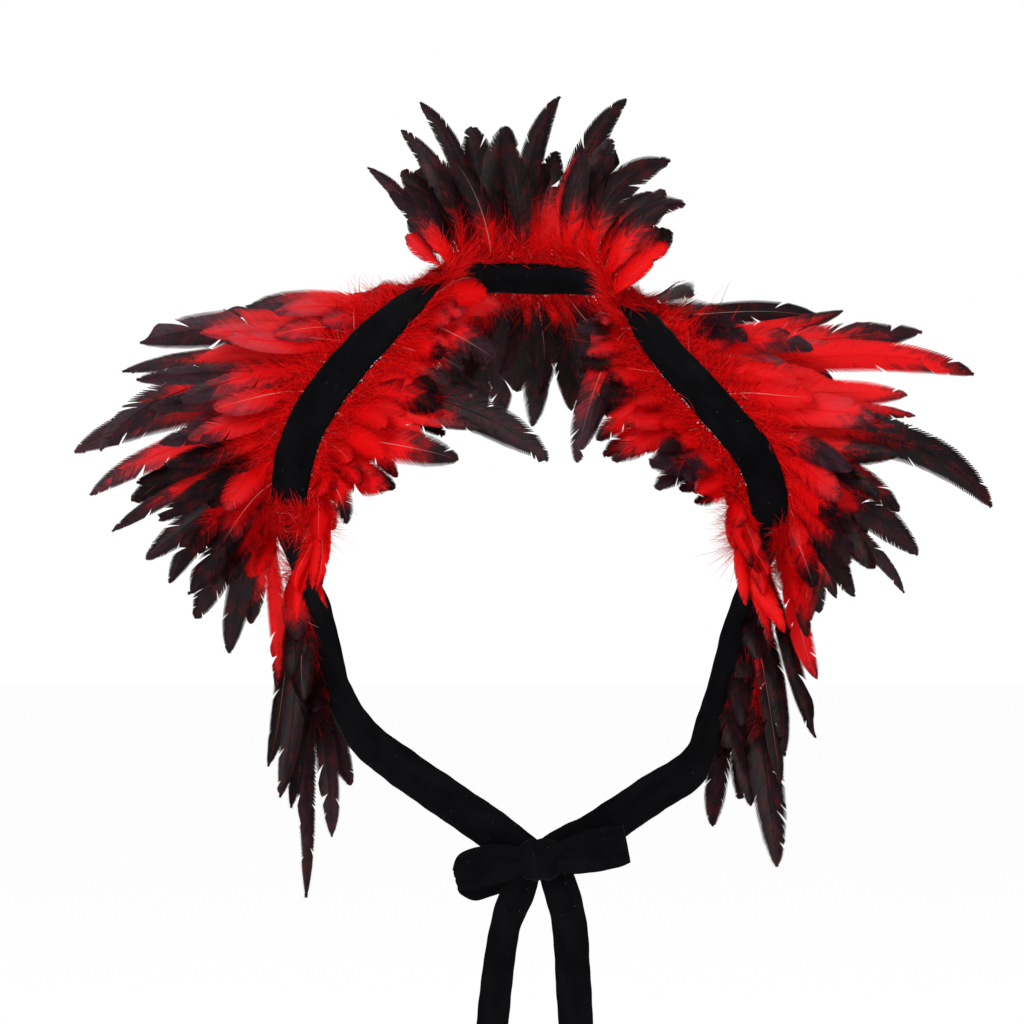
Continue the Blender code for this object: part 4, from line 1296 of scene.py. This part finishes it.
FRONT = (0.0, -1.0, 0.15)
REAR = (0.0, 1.0, 0.25)
ROWS = (
    FeatherRow(
        "collar_feathers", -3.65, 3.65, Edge.INNER, -1, FRONT,
        (
            Plume(-3.5, -122, 5, 83, 15, 0.16),
            Plume(-3.2, -106, -15, 64, 16, 0.14),
            Plume(-2.7, -97, 40, 112, 18, 0.18),
            Plume(-2.2, -83, 70, 134, 19, 0.20),
            Plume(-2.0, -84, 40, 92, 22, 0.14),
            Plume(-1.3, -45, 95, 116, 34, 0.04),
            Plume(-0.9, -17, 98, 116, 34, 0.04),
            Plume(-0.3, 23, 105, 139, 20, 0.16),
            Plume(0.6, 73, 90, 137, 23, 0.16),
            Plume(1.4, 62, 78, 106, 27, 0.08),
            Plume(2.0, 106, 60, 89, 28, 0.40),
            Plume(2.5, 117, 35, 56, 24, 0.40),
            Plume(3.2, 88, 5, 23, 11, 0.30),
        ),
        (
            Fan(-3.5, 118, 66, 12), Fan(-1.8, 106, 88, 34), Fan(0.0, 90, 96, 42), Fan(1.8, 74, 88, 34),
            Fan(3.5, 62, 62, 12),
        ),
        18, 14,
        (
            Tone(-3.5, 0.45, 0.5), Tone(-2.4, 0.8, 0.2), Tone(-0.8, 0.85, 0.1), Tone(0.0, 0.45, 0.1),
            Tone(0.8, 0.3, 0.1), Tone(1.6, 0.6, 0.2), Tone(2.4, 0.5, 0.2), Tone(3.5, 0.15, 0.1),
        ),
        under=30,
        under_lengths=(0.66, 0.46),
        under_width=32.0,
    ),
    FeatherRow(
        "back_feathers", -2.6, 2.6, Edge.OUTER, 1, REAR,
        (
            Plume(2.3, 125, 92, -12, 26, 0.16),
            Plume(1.7, 175, 110, -62, 26, 0.10),
            Plume(0.6, 45, 100, -117, 24, 0.0),
            Plume(0.0, 8, 108, -96, 24, 0.0),
            Plume(-0.5, -22, 102, -104, 24, 0.0),
            Plume(-1.7, -172, 112, -68, 26, 0.10),
            Plume(-2.3, -128, 94, -22, 26, 0.12),
        ),
        (
            Fan(-2.5, 204, 115, 40), Fan(-1.2, 240, 118, 42), Fan(0.0, 270, 98, 40), Fan(1.2, 300, 118, 42),
            Fan(2.5, 336, 115, 40),
        ),
        18, 16,
        (Tone(-2.6, 0.6, 0.4), Tone(0.0, 0.8, 0.3), Tone(2.6, 0.85, 0.4)),
        under=34,
        under_lengths=(0.45, 0.55),
        under_width=32.0,
        tuft_hairs=10,
    ),
    FeatherRow(
        "shoulder_feathers_left", -11.0, -2.8, Edge.OUTER, 1, FRONT,
        (
            Plume(-4.2, -210, 0, -22, 27, 0.03),
            Plume(-4.9, -234, 20, -27, 13, 0.05),
            Plume(-5.6, -292, -20, -49, 30, 0.10),
            Plume(-6.2, -304, -60, -71, 16, 0.06),
            Plume(-6.8, -320, -75, -130, 30, 0.26),
            Plume(-7.5, -340, -45, -131, 26, 0.12),
            Plume(-8.0, -327, -95, -163, 22, 0.12),
            Plume(-8.6, -298, -30, -167, 30, 0.05),
            Plume(-8.9, -311, -80, -190, 14, 0.07),
            Plume(-9.5, -286, -65, -211, 24, 0.06),
            Plume(-10.1, -250, -40, -255, 26, 0.05),
            Plume(-10.4, -225, -70, -281, 22, 0.06),
            Plume(-10.7, -209, -30, -259, 20, 0.05),
            Plume(-10.95, -190, -95, -308, 15, -0.06),
        ),
        (
            Fan(-3.0, 204, 55, 20), Fan(-4.2, 190, 78, 20), Fan(-5.0, 179, 112, 20), Fan(-7.0, 182, 135, 5),
            Fan(-9.0, 208, 112, 0), Fan(-10.9, 246, 85, 10),
        ),
        24, 38,
        (
            Tone(-11.0, 0.05, 0.0), Tone(-10.6, 0.5, 0.2), Tone(-9.3, 0.60, 0.3), Tone(-8.4, 0.55, 0.2),
            Tone(-7.4, 0.38, 0.9), Tone(-6.2, 0.22, 1.0), Tone(-5.4, 0.16, 0.8), Tone(-4.2, 0.42, 0.9),
            Tone(-3.0, 0.1, 0.3),
        ),
        under=40,
        covers=((-11.0, -10.2), (-3.3, -2.4)),
    ),
    FeatherRow(
        "shoulder_feathers_right", 2.8, 11.0, Edge.OUTER, 1, FRONT,
        (
            Plume(3.6, 221, 30, -31, 18, 0.10),
            Plume(4.6, 234, -30, -25, 15, -0.08),
            Plume(5.4, 293, -25, -41, 27, 0.02),
            Plume(6.0, 331, -55, -73, 25, 0.14),
            Plume(6.7, 280, -105, -89, 22, 0.03),
            Plume(7.3, 287, -60, -104, 14, 0.07),
            Plume(7.8, 343, -85, -172, 30, 0.28),
            Plume(8.4, 273, -100, -133, 22, 0.03),
            Plume(9.0, 289, -50, -208, 28, 0.15),
            Plume(9.4, 280, -20, -236, 13, 0.12),
            Plume(9.9, 238, -60, -232, 22, 0.10),
            Plume(10.2, 229, -25, -240, 14, 0.08),
            Plume(10.5, 202, -95, -236, 22, 0.08),
            Plume(10.75, 206, -75, -269, 15, 0.05),
            Plume(10.95, 214, -100, -300, 19, -0.07),
        ),
        (
            Fan(3.0, -24, 55, 20), Fan(4.2, -10, 78, 20), Fan(5.0, 1, 112, 20), Fan(7.0, -2, 125, 5),
            Fan(8.0, -14, 98, 0), Fan(9.0, -30, 108, 0), Fan(9.9, -46, 84, 0), Fan(10.9, -64, 80, 10),
        ),
        24, 38,
        (
            Tone(2.8, 0.1, 0.2), Tone(3.6, 0.6, 0.1), Tone(4.2, 0.2, 0.5), Tone(4.8, 0.4, 1.0),
            Tone(5.5, 0.3, 1.0), Tone(6.0, 0.08, 0.1), Tone(7.2, 0.08, 0.5), Tone(7.8, 0.45, 0.4),
            Tone(8.5, 0.4, 0.3), Tone(9.2, 0.6, 0.3), Tone(10.0, 0.5, 0.3), Tone(10.6, 0.15, 0.1),
            Tone(11.0, 0.12, 0.1),
        ),
        under=40,
        covers=((10.4, 11.0), (2.6, 3.6)),
    ),
    FeatherRow(
        "chest_feathers_left", -11.0, -3.85, Edge.INNER, 1, FRONT,
        (
            Plume(-4.6, -26, -92, -62, 26, 0.05),
            Plume(-6.2, 13, -128, -138, 30, 0.14),
            Plume(-6.9, -36, -122, -114, 18, 0.05),
            Plume(-7.9, -53, -132, -137, 28, 0.04),
            Plume(-9.0, -103, -122, -156, 28, -0.08),
            Plume(-10.4, -150, -118, -247, 11, -0.12),
        ),
        (
            Fan(-4.0, -8, 62, -20), Fan(-6.0, -26, 85, -28), Fan(-8.0, -25, 85, -28), Fan(-8.5, -35, 60, -25),
            Fan(-9.0, -60, 58, -25), Fan(-10.9, -82, 90, -25),
        ),
        12, 16,
        (
            Tone(-11.0, 0.05, 0.0, 0.5), Tone(-10.0, 0.05, 0.0, 0.5), Tone(-9.0, 0.10, 0.1, 0.8),
            Tone(-8.3, 0.3, 0.1), Tone(-7.4, 0.08, 0.1), Tone(-6.8, 0.15, 0.2), Tone(-6.0, 0.6, 0.2),
            Tone(-5.0, 0.3, 0.3), Tone(-4.0, 0.3, 0.4),
        ),
        under=34,
        covers=((-11.0, -10.2), (-3.6, -2.4)),
    ),
    FeatherRow(
        "chest_feathers_right", 3.85, 11.0, Edge.INNER, 1, FRONT,
        (
            Plume(4.2, 35, -92, -139, 24, 0.08),
            Plume(4.6, 46, -78, -117, 12, 0.05),
            Plume(5.3, 52, -100, -92, 24, 0.05),
            Plume(6.6, 61, -115, -138, 24, 0.08),
            Plume(7.8, 88, -124, -140, 26, 0.05),
            Plume(8.8, 121, -126, -168, 20, -0.05),
        ),
        (
            Fan(4.0, 192, 60, -20), Fan(6.0, 206, 78, -28), Fan(8.0, 202, 75, -28), Fan(8.5, 206, 48, -25),
            Fan(9.0, 250, 50, -25), Fan(10.9, 270, 84, -25),
        ),
        12, 16,
        (
            Tone(4.0, 0.5, 0.9), Tone(5.3, 0.45, 0.5), Tone(6.2, 0.1, 0.1), Tone(7.0, 0.4, 0.4),
            Tone(7.8, 0.5, 1.0), Tone(8.8, 0.05, 0.1, 0.7), Tone(11.0, 0.05, 0.0, 0.5),
        ),
        under=34,
        covers=((2.4, 3.7),),
    ),
    FeatherRow(
        "side_feathers_left", -14.8, -11.9, Edge.OUTER, 1, FRONT,
        (
            Plume(-12.3, -196, -44, -366, 17, -0.05),
            Plume(-12.7, -186, -58, -388, 18, -0.04),
            Plume(-13.0, -178, -72, -396, 17, -0.03),
            Plume(-13.4, -170, -54, -417, 16, -0.02),
            Plume(-13.8, -167, -68, -463, 13, 0.0),
            Plume(-14.2, -148, -82, -418, 18, 0.03),
            Plume(-14.6, -134, -74, -380, 20, -0.05),
        ),
        (Fan(-12.0, 262, 90, 4), Fan(-14.7, 264, 88, -12)),
        4, 10,
        (Tone(-14.8, 0.8, 0.4), Tone(-11.9, 0.75, 0.5)),
        under=6, tuft_hairs=12,
    ),
    FeatherRow(
        "side_feathers_right", 11.3, 14.8, Edge.OUTER, 1, FRONT,
        (
            Plume(11.7, 213, -62, -344, 15, -0.03),
            Plume(12.3, 190, -48, -358, 16, 0.04),
            Plume(12.8, 187, -72, -380, 15, 0.02),
            Plume(13.4, 184, -66, -440, 27, 0.02),
            Plume(14.0, 165, -82, -395, 20, 0.0),
            Plume(14.6, 136, -84, -410, 20, 0.03),
        ),
        (Fan(11.4, 284, 95, 4), Fan(14.7, 276, 80, -12)),
        4, 10,
        (Tone(11.3, 0.8, 0.2), Tone(13.4, 0.7, 0.2), Tone(14.8, 0.85, 0.2)),
        under=6, tuft_hairs=12,
    ),
)


# Studio
@dataclass
class Studio:
    """A plain pale floor under a white sky, soft lights and the camera."""

    view_width: float = 0.768
    distance: float = 10.0
    centre: tuple[float, float] = (-0.0135, -0.1755)
    floor: float = -0.82
    floor_reach: float = 40.0
    sky_light: float = 0.14

    def ground(self) -> None:
        """The floor: a wide pale square, which glows so that it stays white far from the lights."""
        reach = np.linspace(-self.floor_reach, self.floor_reach, 3)
        grid = np.stack(np.broadcast_arrays(reach[None, :], reach[:, None], self.floor), axis=-1) / MM
        patches = Patches()
        blank = np.zeros((1, *grid.shape[:2]))
        patches.add(grid[None], 0, False, u=blank, v=blank)
        graph, shader = new_finish("studio_paper", 0.9, 0.1)
        shader.inputs["Base Color"].default_value = (0.92, 0.92, 0.92, 1.0)
        shader.inputs["Emission Color"].default_value = (1.0, 1.0, 1.0, 1.0)
        shader.inputs["Emission Strength"].default_value = 0.85
        paper = bpy.data.objects.new("studio_floor", patches.mesh("studio_floor"))
        bpy.context.scene.collection.objects.link(paper)
        paper.data.materials.append(graph.material)

    def sky(self) -> None:
        """A sky that is seen as white and gives only a little light, so that the blacks stay deep."""
        world = bpy.data.worlds.new("studio_air")
        world.use_nodes = True
        tree = world.node_tree
        seen = tree.nodes.new("ShaderNodeLightPath").outputs["Is Camera Ray"]
        strength = tree.nodes.new("ShaderNodeMath")
        strength.operation = "MULTIPLY_ADD"
        strength.inputs[1].default_value = 1.0 - self.sky_light
        strength.inputs[2].default_value = self.sky_light
        tree.links.new(seen, strength.inputs[0])
        tree.links.new(strength.outputs["Value"], tree.nodes["Background"].inputs["Strength"])
        tree.nodes["Background"].inputs["Color"].default_value = (1.0, 1.0, 1.0, 1.0)
        bpy.context.scene.world = world

    def light(self, name: str, place: tuple[float, float, float], size: float, power: float) -> None:
        """A square soft light that shines at the cape.

        Args:
            name: its name.
            place: where it hangs, in metres.
            size: its side, in metres.
            power: its power in watts.
        """
        lamp = bpy.data.lights.new(name, "AREA")
        lamp.size = size
        lamp.energy = power
        thing = bpy.data.objects.new(name, lamp)
        bpy.context.scene.collection.objects.link(thing)
        thing.location = place
        aim = Vector((self.centre[0], 0.0, self.centre[1])) - Vector(place)
        thing.rotation_euler = aim.to_track_quat("-Z", "Y").to_euler()

    def build(self) -> None:
        """Makes the floor, the sky, the lights and the camera."""
        self.ground()
        self.sky()
        self.light("key_light", (-1.6, -2.4, 1.9), 1.4, 78.0)
        self.light("fill_light", (2.2, -2.6, 0.8), 1.8, 30.0)
        self.light("top_light", (0.2, 0.2, 2.3), 1.4, 24.0)
        # The photograph's reds are pure and its blacks deep, which the standard view keeps
        bpy.context.scene.view_settings.view_transform = "Standard"
        lens = bpy.data.cameras.new("camera")
        lens.sensor_width = 36.0
        lens.lens = lens.sensor_width * self.distance / self.view_width
        camera = bpy.data.objects.new("camera", lens)
        bpy.context.scene.collection.objects.link(camera)
        camera.location = (self.centre[0], -self.distance, self.centre[1])
        camera.rotation_euler = (math.pi / 2, 0.0, 0.0)
        bpy.context.scene.camera = camera
        LOG.info("studio: camera of %.0f mm at %.1f m", lens.lens, self.distance)


def main() -> None:
    """Builds the cape and its studio, piece by piece."""
    logging.basicConfig(level=logging.INFO, format="%(message)s")
    Studio().build()
    velvet = VelvetFinish().make()
    vane = VaneFinish().make()
    down = DownFinish().make()
    Band().build(velvet)
    Bow().build(velvet)
    for row in ROWS:
        row.build(vane, down)


if __name__ == "__main__":
    main()
